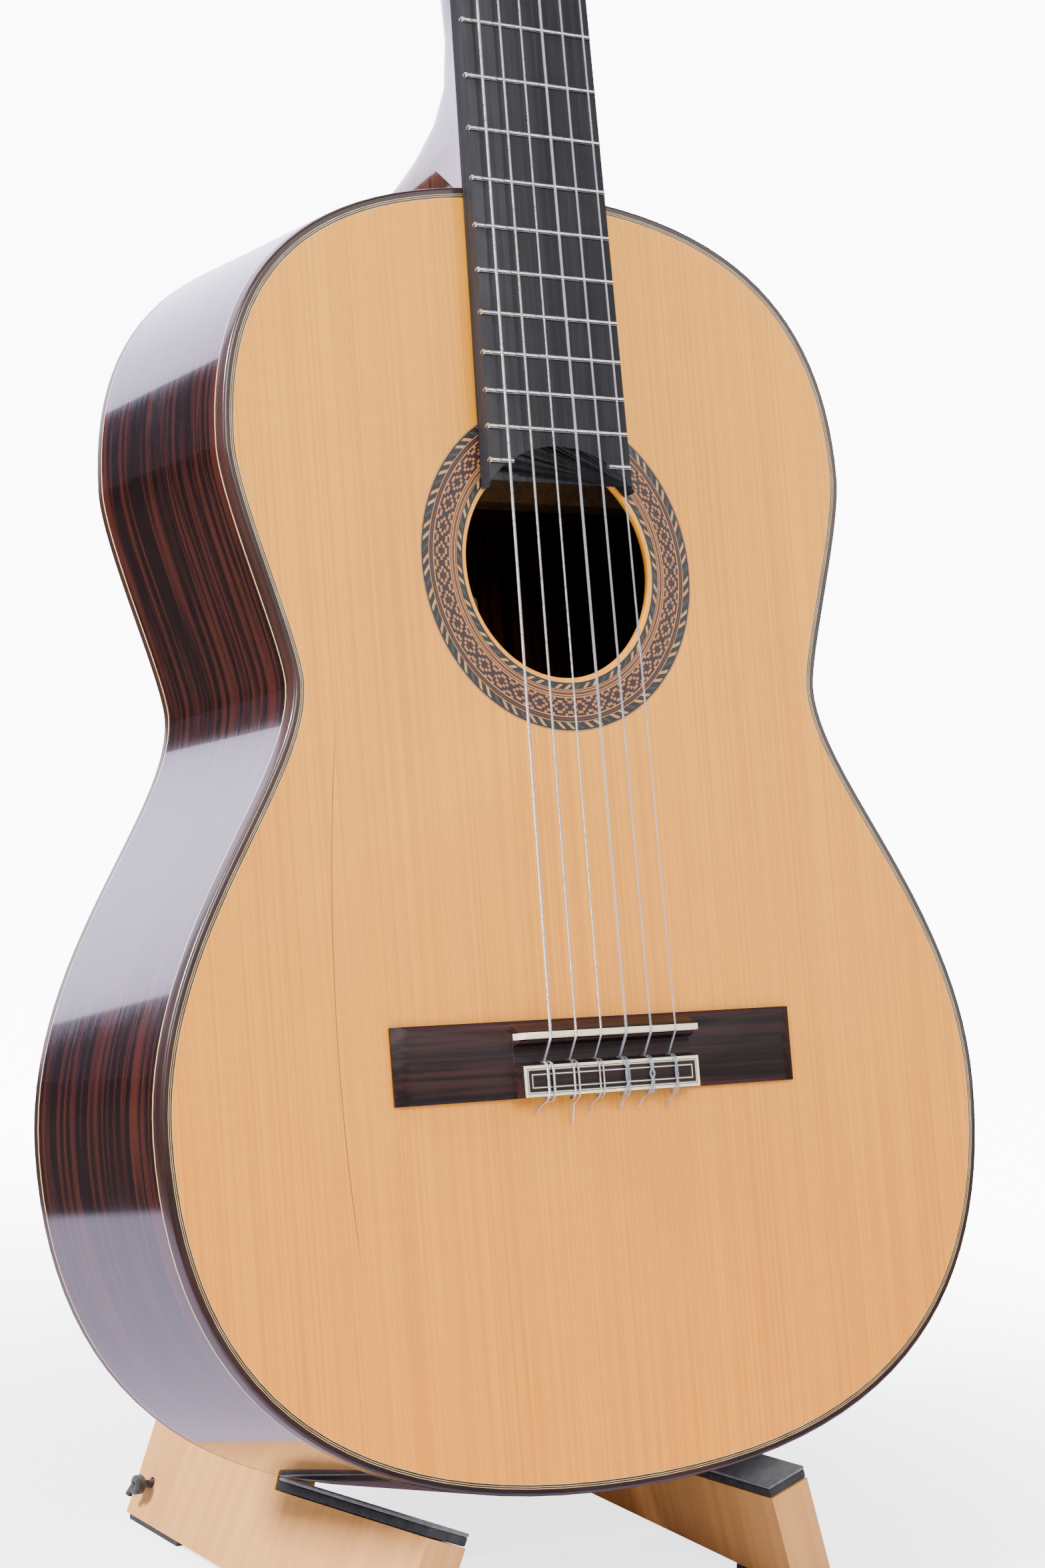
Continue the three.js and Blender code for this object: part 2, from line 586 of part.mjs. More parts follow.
function addHeadstock() {
  const { half, neckHalf, length, shoulder, crest, thick } = HEAD;
  const shape = new THREE.Shape();
  shape.moveTo(-neckHalf, -HEAD.thick);
  shape.lineTo(neckHalf, -HEAD.thick);
  shape.lineTo(neckHalf, 2);
  shape.quadraticCurveTo(neckHalf + 1, shoulder - 4, half, shoulder);
  shape.lineTo(half, length - 36);
  shape.lineTo(half + 3, length - 20);
  shape.quadraticCurveTo(half / 2, length - 14, crest, length);
  shape.quadraticCurveTo(0, length + 3, -crest, length);
  shape.quadraticCurveTo(-half / 2, length - 14, -half - 3, length - 20);
  shape.lineTo(-half, length - 36);
  shape.lineTo(-half, shoulder);
  shape.quadraticCurveTo(-neckHalf - 1, shoulder - 4, -neckHalf, 2);
  const tools = [];
  for (const side of [-1, 1]) {
    tools.push(sideBox(side, SLOT.inner, SLOT.outer, -1, thick + 1, SLOT.bottom, SLOT.top));
    for (let step = 0; step < 3; step += 1) {
      tools.push(sideBar(side, ROLLER.axle + GAP, SLOT.inner - 5, HEAD.half + 1, ROLLER.depth, rollerPlace(step), 8));
    }
  }
  const blank = cut(plate(shape, 0, thick, 6), ...tools);
  const neckEnd = box(-FAR, FAR, -FAR, FAR, -FAR, HEAD_START + GAP / 2);
  const ahead = moved(neckEnd, new THREE.Matrix4().copy(head.matrix).invert());
  addMesh(head, "headstock", cut(blank, ahead), MAHOGANY);
}

function gearShape() {
  const points = [];
  const pitch = (2 * Math.PI) / GEAR.teeth;
  for (let tooth = 0; tooth < GEAR.teeth; tooth += 1) {
    for (const [share, radius] of [[0, GEAR.root], [0.3, GEAR.root], [0.42, GEAR.tip], [0.88, GEAR.tip]]) {
      const angle = (tooth + share) * pitch;
      points.push([radius * Math.cos(angle), radius * Math.sin(angle)]);
    }
  }
  return polygon(points);
}

function addTuner(side, step, number) {
  const z = rollerPlace(step);
  const y = ROLLER.depth;
  const barrel = sideBar(side, ROLLER.radius, SLOT.inner + GAP, SLOT.outer - GAP, y, z, 12);
  const axle = sideBar(side, ROLLER.axle, SLOT.inner - 4.5, GEAR_FACE + 0.5, y, z, 8);
  const gearStart = side < 0 ? -GEAR_FACE - GEAR.thick : GEAR_FACE;
  const gear = profile(gearShape(), gearStart, gearStart + GEAR.thick).translate(0, y, z);
  addMesh(head, `tuner_roller_${number}`, join(barrel, axle, gear), NYLON);

  const x = side * GEAR_MIDDLE;
  const wormZ = z + WORM_RISE;
  const shaft = barY(WORM.shaft, y - WORM.length / 2 - LUG.thick - 1, BUTTON.start + 2, x, wormZ, 8);
  const worm = barY(WORM.radius, y - WORM.length / 2, y + WORM.length / 2, x, wormZ, 10);
  const ring = (length, reach, thick) => {
    const points = [];
    for (let i = 0; i < 12; i += 1) {
      const angle = (2 * Math.PI * i) / 12;
      points.push([x + thick * Math.cos(angle), BUTTON.start + length, wormZ - reach * Math.sin(angle)]);
    }
    return points;
  };
  const { half, thick, length } = BUTTON;
  const button = loft([
    ring(0, half * 0.45, thick * 0.36),
    ring(length * 0.2, half * 0.85, thick * 0.42),
    ring(length * 0.6, half, thick * 0.5),
    ring(length, half * 0.72, thick * 0.3),
  ]);
  addMesh(head, `tuner_knob_${number}`, join(shaft, worm, button), PEARLOID);
}

function addTunerPlate(side, name) {
  const { thick, bottom, top, width } = TUNER_PLATE;
  const y0 = ROLLER.depth - width / 2;
  const pieces = [sideBox(side, HEAD.half + GAP, PLATE_FACE, y0, y0 + width, bottom, top)];
  const holes = [];
  for (let step = 0; step < 3; step += 1) {
    const wormZ = rollerPlace(step) + WORM_RISE;
    holes.push(sideBar(side, ROLLER.axle + GAP, HEAD.half, PLATE_FACE + 1, ROLLER.depth, rollerPlace(step), 8));
    for (const end of [-1, 1]) {
      const near = ROLLER.depth + end * (WORM.length / 2 + GAP);
      const far = near + end * LUG.thick;
      const [a, b] = [Math.min(near, far), Math.max(near, far)];
      const reach = GEAR_MIDDLE + LUG.reach;
      pieces.push(sideBox(side, PLATE_FACE - thick / 2, reach, a, b, wormZ - LUG.half, wormZ + LUG.half));
    }
    const bore = barY(WORM.shaft + GAP, -FAR / 4, FAR / 4, side * GEAR_MIDDLE, wormZ, 8);
    holes.push(bore);
  }
  addMesh(head, name, cut(join(...pieces), ...holes), BRASS);
}

// ---------------------------------------------------------------- strings
// The lowest string is number 6, on the left; the pairs go to the near, middle and far rollers
function addString(index) {
  const radius = STRING_DIAMETERS[index] / 2;
  const number = STRING_DIAMETERS.length - index;
  const side = index < 3 ? -1 : 1;
  const step = index < 3 ? index : 5 - index;
  const saddleX = stringX(index, STRING_SPREAD.saddle);
  const nutX = stringX(index, STRING_SPREAD.nut);
  const windX = side * (SLOT.outer - 6 - 2 * step);
  const windRadius = ROLLER.radius + GAP + 2 * radius;
  const onHead = (x, y, z) => new THREE.Vector3(x, y, z).applyMatrix4(head.matrix);
  const winding = new THREE.LatheGeometry(
    [[ROLLER.radius + GAP, -2], [windRadius, -2], [windRadius, 2], [ROLLER.radius + GAP, 2], [ROLLER.radius + GAP, -2]]
      .map(([r, h]) => point(r, h)),
    16,
  );
  winding.rotateZ(Math.PI / 2).translate(windX, ROLLER.depth, rollerPlace(step));
  const overNut = -NUT.top - GAP - radius;
  const overSaddle = -SADDLE.top - GAP - radius;
  const overBlock = -BRIDGE.top - GAP - radius;
  const at = (x, y, z) => new THREE.Vector3(x, y, z);
  const tail = saddleX + 4 * radius;
  const route = [
    onHead(windX, ROLLER.depth - windRadius + radius + 0.2, rollerPlace(step) - 0.5),
    at(nutX, overNut + 0.4, NUT_LINE + NUT.thick + GAP + 1.5),
    at(nutX, overNut, NUT_LINE + NUT.thick),
    at(nutX, overNut, NUT_LINE),
    at(saddleX, overSaddle, SADDLE.thick / 2),
    at(saddleX, overSaddle, -SADDLE.thick / 2),
    at(saddleX, overSaddle + 0.5, -SADDLE.thick / 2 - 1),
    at(saddleX, -STRING_HOLE_HEIGHT, TIE_BLOCK_FRONT + 1.3),
    at(saddleX, -STRING_HOLE_HEIGHT, TIE_BLOCK_FRONT),
    at(saddleX, -STRING_HOLE_HEIGHT, BRIDGE.back - 0.4),
    at(saddleX + radius, -STRING_HOLE_HEIGHT - 1, BRIDGE.back - 1.2 - radius),
    at(saddleX + 2 * radius, overBlock + 1.2, BRIDGE.back - 1.2 - radius),
    at(tail, overBlock, BRIDGE.back + 0.4),
    at(tail, overBlock, TIE_BLOCK_FRONT),
  ];
  const finish = index < 3 ? WOUND_SILVER : NYLON;
  const string = tube(route, radius, STRING_SIDES);
  addMesh(guitar, `string_${number}`, join(string, moved(winding, head.matrix)), finish);
}

// ---------------------------------------------------------------- stand
const lean = Math.tan(radians(LEAN));
const splayCos = Math.cos(radians(SPLAY));
const splaySin = Math.sin(radians(SPLAY));
const leanCos = Math.cos(radians(LEAN));
const leanSin = Math.sin(radians(LEAN));

// The guitar rests on the seats by the lowest edge of its back, and each seat falls towards its upright
const restY = RIM_DEPTH * leanCos + BODY_BOTTOM * leanSin;
const restZ = BODY_BOTTOM * leanCos - RIM_DEPTH * leanSin;
const seatFall = Math.tan(radians(SEAT_TILT));
const SEAT_FRONT_Z = restZ - SEAT_DROP + (restY - SEAT_FRONT) * seatFall;
const alongLeg = (z) => (z - PIVOT_Z) / splayCos;

// Front of the uprights, just clear of the guitar's arched back and the pad on it, at a place along the leg
const legLean = lean * splayCos;
const BACK_CLEARANCE = RIM_DEPTH + BACK_ARCH + GAP + PAD.back;
const uprightFront = (s) =>
  (PIVOT_Z + s * splayCos + LEG_THICKNESS * splaySin) * lean + BACK_CLEARANCE / leanCos;
const uprightRear = (s) => uprightFront(s) + UPRIGHT_DEPTH;
const onUpright = (s, depth) => [uprightFront(s) + depth, s];
// A point of a cut square to the upright, at a depth behind its front
const squareCut = (s, depth) => onUpright(s - legLean * depth * leanCos * leanCos, depth);

const SEAT_S = alongLeg(SEAT_FRONT_Z);
const seatLine = (y) => SEAT_S - ((y - SEAT_FRONT) * seatFall) / splayCos;
const seatBackS = (() => {
  let s = SEAT_S;
  for (let i = 0; i < 20; i += 1) s = seatLine(uprightFront(s));
  return s;
})();
const SHOULDER = -1;

// Toe, front of the seat, seat and the corner where the upright starts: the same on both legs
function seatOutline(shape) {
  const bottom = alongLeg(LEG_BOTTOM) - LEG_THICKNESS;
  shape.moveTo(TOE, bottom);
  shape.lineTo(HEEL_Y, bottom);
  shape.lineTo(HEEL_Y, alongLeg(LEG_BOTTOM));
  shape.lineTo(uprightRear(alongLeg(LEG_BOTTOM + HEEL_RISE)), alongLeg(LEG_BOTTOM + HEEL_RISE));
}
function closeSeat(shape) {
  shape.lineTo(...onUpright(seatBackS, 0));
  shape.lineTo(SEAT_FRONT, SEAT_S);
  shape.lineTo(TOE, alongLeg(LEG_BOTTOM) - LEG_THICKNESS);
}

const REAR_ARM_START = FRONT_ARM_DEPTH + ARM_GAP;
const HEAD_UNDER = SHORT_ARM + ARM_CLEARANCE;

function longLegShape() {
  const shape = new THREE.Shape();
  seatOutline(shape);
  shape.lineTo(...squareCut(LONG_ARM - ARM_CORNER, UPRIGHT_DEPTH));
  shape.quadraticCurveTo(
    ...squareCut(LONG_ARM, UPRIGHT_DEPTH),
    ...squareCut(LONG_ARM, UPRIGHT_DEPTH - ARM_CORNER),
  );
  shape.lineTo(...squareCut(LONG_ARM, ARM_CORNER));
  shape.quadraticCurveTo(...squareCut(LONG_ARM, 0), ...squareCut(LONG_ARM - ARM_CORNER, 0));
  shape.lineTo(...squareCut(HEAD_UNDER, 0));
  shape.lineTo(...squareCut(HEAD_UNDER, REAR_ARM_START - ARM_CORNER));
  shape.quadraticCurveTo(
    ...squareCut(HEAD_UNDER, REAR_ARM_START),
    ...squareCut(HEAD_UNDER - ARM_CORNER, REAR_ARM_START),
  );
  shape.lineTo(...onUpright(SHOULDER, REAR_ARM_START));
  shape.lineTo(...onUpright(SHOULDER, 0));
  closeSeat(shape);
  return shape;
}

function shortLegShape() {
  const shape = new THREE.Shape();
  seatOutline(shape);
  shape.lineTo(...onUpright(SHOULDER, UPRIGHT_DEPTH));
  shape.lineTo(...onUpright(SHOULDER, FRONT_ARM_DEPTH));
  shape.lineTo(...squareCut(SHORT_ARM - ARM_CORNER, FRONT_ARM_DEPTH));
  shape.quadraticCurveTo(
    ...squareCut(SHORT_ARM, FRONT_ARM_DEPTH),
    ...squareCut(SHORT_ARM, FRONT_ARM_DEPTH - ARM_CORNER),
  );
  shape.lineTo(...squareCut(SHORT_ARM, ARM_CORNER));
  shape.quadraticCurveTo(...squareCut(SHORT_ARM, 0), ...squareCut(SHORT_ARM - ARM_CORNER, 0));
  closeSeat(shape);
  return shape;
}

// Legs, pads and feet are drawn for one side: side is -1 for the long left leg, 1 for the short right one
const legX = (side) => (side < 0 ? [-LEG_THICKNESS, 0] : [0, LEG_THICKNESS]);
const legs = {};
for (const side of [-1, 1]) {
  const leg = new THREE.Group();
  leg.position.z = PIVOT_Z;
  leg.rotation.y = -side * radians(SPLAY);
  object.add(leg);
  legs[side] = leg;
}
object.updateMatrixWorld(true);
const toLeg = (side) => new THREE.Matrix4().copy(legs[side].matrix).invert();

const pivotY = (depth) => uprightFront(0) + depth;
const frontKnuckle = [pivotY(1), pivotY(FRONT_ARM_DEPTH)];
const rearKnuckle = [pivotY(REAR_ARM_START), pivotY(UPRIGHT_DEPTH - 1)];
const pinHeadStart = frontKnuckle[0] + 1;
const pinHeadEnd = pinHeadStart + PIVOT_PIN.headThick;

function addLeg(side, name, shape) {
  const own = side < 0 ? rearKnuckle : frontKnuckle;
  const reach = side < 0 ? [own[0] - FAR / 4, own[0]] : [own[1], own[1] + FAR / 4];
  const clearance = barY(KNUCKLE.radius + KNUCKLE.clearance, ...reach, 0, 0, 24);
  const boss = barY(KNUCKLE.radius, ...own, 0, 0, 24);
  const bore = barY(PIVOT_PIN.radius + GAP, -FAR, FAR, 0, 0, 16);
  const recess = barY(PIVOT_PIN.head + 2 * GAP, pinHeadStart - FAR / 4, pinHeadEnd + GAP, 0, 0, 20);
  const floor = moved(box(-FAR, FAR, -FAR, FAR, -2 * FAR, LEG_BOTTOM), toLeg(side));
  const cordHole = moved(barX(CORD.hole, -FAR, FAR, CORD.y, CORD.z, 10), toLeg(side));
  const wood = cut(profile(shape, ...legX(side)), clearance, floor, cordHole);
  addMesh(legs[side], name, cut(join(wood, boss), bore, recess), BEECH);
}

// The seat's pad takes the shape of the guitar's bottom edge that rests on it
function addPads(side, label) {
  const seat = (y, rise) => [y, seatLine(y) + rise];
  const y0 = SEAT_FRONT + PAD.margin;
  const y1 = uprightFront(seatBackS) - GAP;
  const block = profile(
    polygon([seat(y0, GAP), seat(y1, GAP), seat(y1, GAP + PAD.seat), seat(y0, GAP + PAD.seat)]),
    ...legX(side),
  );
  const rest = moved(outlinePlate(-GAP, -GAP, RIM_DEPTH + BACK_ARCH), guitar.matrix);
  addMesh(legs[side], `${label}_seat_pad`, cut(block, moved(rest, toLeg(side))), FOAM);

  const [low, high] = side < 0 ? [HEAD_UNDER + 4, LONG_ARM - 10] : [SHORT_ARM - 110, SHORT_ARM - 10];
  const face = (s, depth) => onUpright(s, -depth);
  const strip = polygon([face(low, PAD.back), face(low, GAP), face(high, GAP), face(high, PAD.back)]);
  addMesh(legs[side], `${label}_back_pad`, profile(strip, ...legX(side)), FOAM);
}

function addFeet(side, label) {
  const top = LEG_BOTTOM - GAP;
  const inner = (PIVOT_Z - LEG_BOTTOM) * Math.tan(radians(SPLAY)) + RUBBER_FOOT.inset;
  const outer = inner + LEG_THICKNESS / splayCos - 2 * RUBBER_FOOT.inset;
  const { length, thick } = RUBBER_FOOT;
  for (const [name, start] of [["front", TOE + 1], ["rear", HEEL_Y - 1 - length]]) {
    const foot = sideBox(side, inner, outer, start, start + length, top - thick, top);
    addMesh(object, `${label}_${name}_foot`, foot, RUBBER);
  }
}

function addPivot() {
  const nutStart = pivotY(UPRIGHT_DEPTH) + legLean * KNUCKLE.radius + GAP;
  const pin = barY(PIVOT_PIN.radius, pinHeadEnd - 1, nutStart + 1, 0, PIVOT_Z, 16);
  const pinHead = barY(PIVOT_PIN.head, pinHeadStart, pinHeadEnd, 0, PIVOT_Z, 20);
  const nut = barY(PIVOT_PIN.head, nutStart, nutStart + PIVOT_PIN.headThick, 0, PIVOT_Z, 6);
  addMesh(object, "pivot_pin", join(pin, pinHead, nut), STEEL);
  const washer = barY(KNUCKLE.radius - 1, frontKnuckle[1] + GAP, rearKnuckle[0] - GAP, 0, PIVOT_Z, 24);
  const washerHole = barY(PIVOT_PIN.radius + GAP, -FAR, FAR, 0, PIVOT_Z, 16);
  addMesh(object, "pivot_washer", cut(washer, washerHole), BRASS);
}

function addCord() {
  const faceX = (PIVOT_Z - CORD.z) * Math.tan(radians(SPLAY)) + LEG_THICKNESS / splayCos;
  const reach = faceX + CORD.knot + 1.5;
  const line = barX(CORD.radius, -reach, reach, CORD.y, CORD.z, 8);
  const knots = [-1, 1].map((side) =>
    new THREE.SphereGeometry(CORD.knot, 10, 7).translate(side * (reach + 1), CORD.y, CORD.z),
  );
  addMesh(object, "spread_cord", join(line, ...knots), CORD_BLACK);
}

// ---------------------------------------------------------------- build
addTop();
addTopBraces();
addBack();
addBackBraces();
addRim();
addLinings();
addNeck();
addFingerboard();
addBridge();
addHeadstock();
addTunerPlate(-1, "tuner_plate_bass");
addTunerPlate(1, "tuner_plate_treble");
for (let step = 0; step < 3; step += 1) {
  addTuner(-1, step, 6 - step);
  addTuner(1, step, 1 + step);
}
STRING_DIAMETERS.forEach((_, index) => addString(index));

addLeg(-1, "left_leg", longLegShape());
addLeg(1, "right_leg", shortLegShape());
for (const [side, label] of [[-1, "left"], [1, "right"]]) {
  addPads(side, label);
  addFeet(side, label);
}
addPivot();
addCord();

// Stand the whole on z = 0 with its box centred on the z axis
const extent = new THREE.Box3().setFromObject(object, true);
const middle = extent.getCenter(new THREE.Vector3());
object.position.set(-middle.x, -middle.y, -extent.min.z);

export default object;
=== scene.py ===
import json
import math

import bmesh
import bpy
from mathutils import Matrix, Vector

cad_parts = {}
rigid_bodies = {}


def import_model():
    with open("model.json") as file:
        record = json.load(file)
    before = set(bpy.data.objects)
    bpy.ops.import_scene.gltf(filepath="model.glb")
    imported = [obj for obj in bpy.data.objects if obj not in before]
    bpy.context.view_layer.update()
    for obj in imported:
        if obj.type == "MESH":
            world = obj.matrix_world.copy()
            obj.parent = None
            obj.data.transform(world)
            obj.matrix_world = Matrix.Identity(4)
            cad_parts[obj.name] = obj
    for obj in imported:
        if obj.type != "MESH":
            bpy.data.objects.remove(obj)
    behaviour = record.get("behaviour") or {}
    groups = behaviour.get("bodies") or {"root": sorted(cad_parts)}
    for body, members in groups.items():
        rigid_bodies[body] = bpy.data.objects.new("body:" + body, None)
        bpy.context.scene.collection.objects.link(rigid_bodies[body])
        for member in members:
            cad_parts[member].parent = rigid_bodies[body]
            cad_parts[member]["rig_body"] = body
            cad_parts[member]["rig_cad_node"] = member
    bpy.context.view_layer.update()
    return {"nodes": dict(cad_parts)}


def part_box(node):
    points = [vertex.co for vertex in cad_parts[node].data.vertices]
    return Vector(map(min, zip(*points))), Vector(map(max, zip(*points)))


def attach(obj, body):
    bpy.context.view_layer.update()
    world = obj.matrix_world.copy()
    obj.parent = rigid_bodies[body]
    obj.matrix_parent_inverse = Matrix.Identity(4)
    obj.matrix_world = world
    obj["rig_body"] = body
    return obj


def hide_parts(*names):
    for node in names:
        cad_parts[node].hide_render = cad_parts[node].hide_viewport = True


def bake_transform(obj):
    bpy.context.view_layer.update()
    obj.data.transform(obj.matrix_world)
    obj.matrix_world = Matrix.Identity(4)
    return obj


bl_info = {
    "name": "Guitar on Stand",
    "version": (1, 0, 0),
    "blender": (4, 5, 0),
    "location": "3D View > Sidebar > Guitar",
    "description": "Finished looks of a classical guitar on a folding wooden stand",
    "category": "Add Mesh",
}

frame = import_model()
NODES = frame["nodes"]
MM = 0.001

# ------------------------------------------------------------------ the four working frames
LEAN = math.radians(14)
SPLAY = math.radians(20)
HEAD_ANGLE = math.radians(15)
SADDLE_PLACE = Vector((0, -0.116284, 0.2178))
PIVOT_PLACE = Vector((0, -0.116283, 0.2353))
GUITAR = Matrix.Translation(SADDLE_PLACE) @ Matrix.Rotation(-LEAN, 4, "X")
HEAD = GUITAR @ Matrix.Translation((0, 0, 0.6536)) @ Matrix.Rotation(-HEAD_ANGLE, 4, "X")
LEGS = {
    "left": Matrix.Translation(PIVOT_PLACE) @ Matrix.Rotation(SPLAY, 4, "Y"),
    "right": Matrix.Translation(PIVOT_PLACE) @ Matrix.Rotation(-SPLAY, 4, "Y"),
}
LEG_BODY = {"left": "stand", "right": "folding_leg"}

# ------------------------------------------------------------------ sizes of the real thing
# The body's outline: place, handle before and handle after, from the bottom round by the right
OUTLINE = [
    ((0, -168), (-140, -168), (140, -168)),
    ((187.4, -28), (187.4, -108), (187.4, 43)),
    ((121.2, 131), (121.2, 95), (121.2, 146)),
    ((143.2, 217.7), (143.2, 196.7), (143.2, 280.7)),
    ((0, 322.6), (104, 322.6), (-104, 322.6)),
    ((-143.2, 217.7), (-143.2, 280.7), (-143.2, 196.7)),
    ((-121.2, 131), (-121.2, 146), (-121.2, 95)),
    ((-187.4, -28), (-187.4, 43), (-187.4, -108)),
]
RIM_DEPTH = 0.0955
BOARD_END_ABOVE_HOLE = 0.0261
MOUTH_BEVEL = 0.0016
BOARD_EDGE_BEVEL = 0.0005
LABEL_SUNK = 0.0004
LABEL_THICK = 0.0002
HOLE_Z = 0.1764
HOLE_RADIUS = 0.0423
CEDRO = ((0.115, 0.042, 0.022), (0.045, 0.016, 0.010))
# Studio: distances in metres, strengths of emission, and the lit sector in degrees
# The floor's glow for the camera, in the next two lines: dim near the guitar as painted shade, bright far off
FLOOR_GLOW_SHADE_REACH = (0.12, 0.8)
FLOOR_GLOW_SHADED_TO_BRIGHT = (2.6, 10.5)
# Beyond this reach the floor is painted near black for glossy rays: a painted reflection
MIRRORED_REACH = (0.46, 0.50)
LIT_SECTOR = (-19, 45)
MIRRORED_UNLIT = 0.15
MIRRORED_LIT = 4.5
AMBIENT = 0.55
BACKDROP_WHITE = 11.0
SCALE_LENGTH = 0.650
SADDLE_SETBACK = 0.002
NUT_LINE = SCALE_LENGTH - SADDLE_SETBACK
BODY_JOINT = SCALE_LENGTH / 2 - SADDLE_SETBACK
BOARD_NUT_WIDTH = 0.052
BOARD_BODY_WIDTH = 0.0625
BOARD_BACK = -0.0003
BOARD_FACE = -0.0065
STRING_RADII = [0.00055, 0.00046, 0.00039, 0.00051, 0.00042, 0.00037]
STRING_HOLE = -0.005
NUT_SPREAD = 0.043
SADDLE_SPREAD = 0.058
SADDLE_TOP = -0.0107
NUT_TOP = -0.0083
BLOCK_TOP = -0.0086
BLOCK_FRONT = -0.0108
BRIDGE_BACK = -0.0225
ROLLER_DEPTH = 0.0105
ROLLER_RADIUS = 0.005


class GuitarSizes(bpy.types.PropertyGroup):
    """Sizes of the guitar's fine details"""

    outline_steps: bpy.props.IntProperty(
        name="Outline steps", description="Straight steps in each curve of the outline", default=26, min=8,
        max=60
    )
    binding_width: bpy.props.FloatProperty(
        name="Binding width", description="Width of the binding on the top", default=2.6 * MM, unit="LENGTH"
    )
    front_binding_height: bpy.props.FloatProperty(
        name="Front binding height", description="Height of the top's binding", default=5.8 * MM,
        unit="LENGTH"
    )
    back_binding_height: bpy.props.FloatProperty(
        name="Back binding height", description="Height of the back's binding", default=3.8 * MM,
        unit="LENGTH"
    )
    binding_round: bpy.props.FloatProperty(
        name="Binding rounding", description="Radius of the body's edges", default=1.2 * MM, unit="LENGTH"
    )
    side_line: bpy.props.FloatProperty(
        name="Side line", description="Height of the pale line along the sides", default=0.6 * MM,
        unit="LENGTH"
    )
    side_thickness: bpy.props.FloatProperty(
        name="Side thickness", description="Thickness of the bent sides", default=2.3 * MM, unit="LENGTH"
    )
    back_arch: bpy.props.FloatProperty(
        name="Back arch", description="Rise of the back plate at its middle", default=3.0 * MM, unit="LENGTH"
    )
    fret_width: bpy.props.FloatProperty(
        name="Fret width", description="Width of a fret's crown", default=2.1 * MM, unit="LENGTH"
    )
    fret_height: bpy.props.FloatProperty(
        name="Fret height", description="Height of a fret's crown", default=1.0 * MM, unit="LENGTH"
    )


class StandSizes(bpy.types.PropertyGroup):
    """Sizes of the stand's fine details"""

    edge_round: bpy.props.FloatProperty(
        name="Edge rounding", description="Radius of the boards' edges", default=1.6 * MM, unit="LENGTH"
    )
    cord_diameter: bpy.props.FloatProperty(
        name="Cord diameter", description="Thickness of the spread cord", default=3.0 * MM, unit="LENGTH"
    )


def colour_property(name, description, value):
    return bpy.props.FloatVectorProperty(
        name=name, description=description, subtype="COLOR", size=4, min=0, max=1, default=(*value, 1)
    )


class FinishColours(bpy.types.PropertyGroup):
    """Colours of the main finishes"""

    spruce_pale: colour_property("Spruce, pale", "Pale wood of the soundboard", (0.86, 0.350, 0.009))
    spruce_dark: colour_property("Spruce, dark", "Grain lines of the soundboard", (0.63, 0.205, 0.003))
    rosewood_pale: colour_property(
        "Rosewood, pale", "Red-brown streaks of the sides", (0.046, 0.0095, 0.0055)
    )
    rosewood_dark: colour_property("Rosewood, dark", "Ground of the sides and back", (0.0045, 0.0017, 0.0014))
    stand_pale: colour_property("Stand wood, pale", "Pale wood of the stand", (0.62, 0.30, 0.095))
    stand_dark: colour_property("Stand wood, dark", "Grain lines of the stand", (0.48, 0.20, 0.055))


def sizes():
    return bpy.context.scene.guitar_sizes


def stand_sizes():
    return bpy.context.scene.stand_sizes


def colours():
    return bpy.context.scene.finish_colours


# ------------------------------------------------------------------ modelling helpers
def activate(piece):
    bpy.ops.object.select_all(action="DESELECT")
    piece.select_set(True)
    bpy.context.view_layer.objects.active = piece


def start_edit(piece, mode="FACE"):
    activate(piece)
    bpy.ops.object.mode_set(mode="EDIT")
    bpy.ops.mesh.select_mode(type=mode)
    bpy.ops.mesh.select_all(action="SELECT")


def end_edit():
    bpy.ops.object.mode_set(mode="OBJECT")


def pick(piece, kind, test):
    """In edit mode, selects only the verts, edges or faces that pass the test."""
    mesh = bmesh.from_edit_mesh(piece.data)
    for group in (mesh.verts, mesh.edges, mesh.faces):
        for item in group:
            item.select = False
    found = 0
    for item in getattr(mesh, kind):
        if test(item):
            item.select_set(True)
            found += 1
    bmesh.update_edit_mesh(piece.data)
    return found


def middle(item):
    total = Vector()
    for vert in item.verts:
        total += vert.co
    return total / len(item.verts)


def add_primitive(kind, name, **settings):
    bpy.ops.object.select_all(action="DESELECT")
    getattr(bpy.ops.mesh, f"primitive_{kind}_add")(**settings)
    piece = bpy.context.active_object
    piece.name = name
    piece.data.name = name
    return piece


def add_block(name, low, high):
    """A box between two corners, with its place in its mesh."""
    low, high = Vector(low), Vector(high)
    piece = add_primitive("cube", name, size=1, location=(low + high) / 2)
    piece.scale = high - low
    freeze(piece)
    return piece


def freeze(piece):
    activate(piece)
    bpy.ops.object.transform_apply(location=True, rotation=True, scale=True)


def finish_modifier(piece, kind, **settings):
    activate(piece)
    modifier = piece.modifiers.new(kind.title(), kind)
    for key, value in settings.items():
        setattr(modifier, key, value)
    bpy.ops.object.modifier_apply(modifier=modifier.name)


def carve(piece, cutter, operation="DIFFERENCE"):
    finish_modifier(piece, "BOOLEAN", operation=operation, object=cutter, solver="EXACT")
    remove(cutter)


def remove(piece):
    data = piece.data
    bpy.data.objects.remove(piece)
    if isinstance(data, bpy.types.Mesh):
        bpy.data.meshes.remove(data)


def smooth(piece, degrees=35):
    activate(piece)
    bpy.ops.object.shade_smooth_by_angle(angle=math.radians(degrees), keep_sharp_edges=False)


def copy_piece(source, name):
    piece = source.copy()
    piece.data = source.data.copy()
    piece.name = name
    piece.data.name = name
    piece.parent = None
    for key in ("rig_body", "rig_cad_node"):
        if key in piece:
            del piece[key]
    bpy.context.scene.collection.objects.link(piece)
    piece.hide_render = False
    piece.hide_viewport = False
    return piece


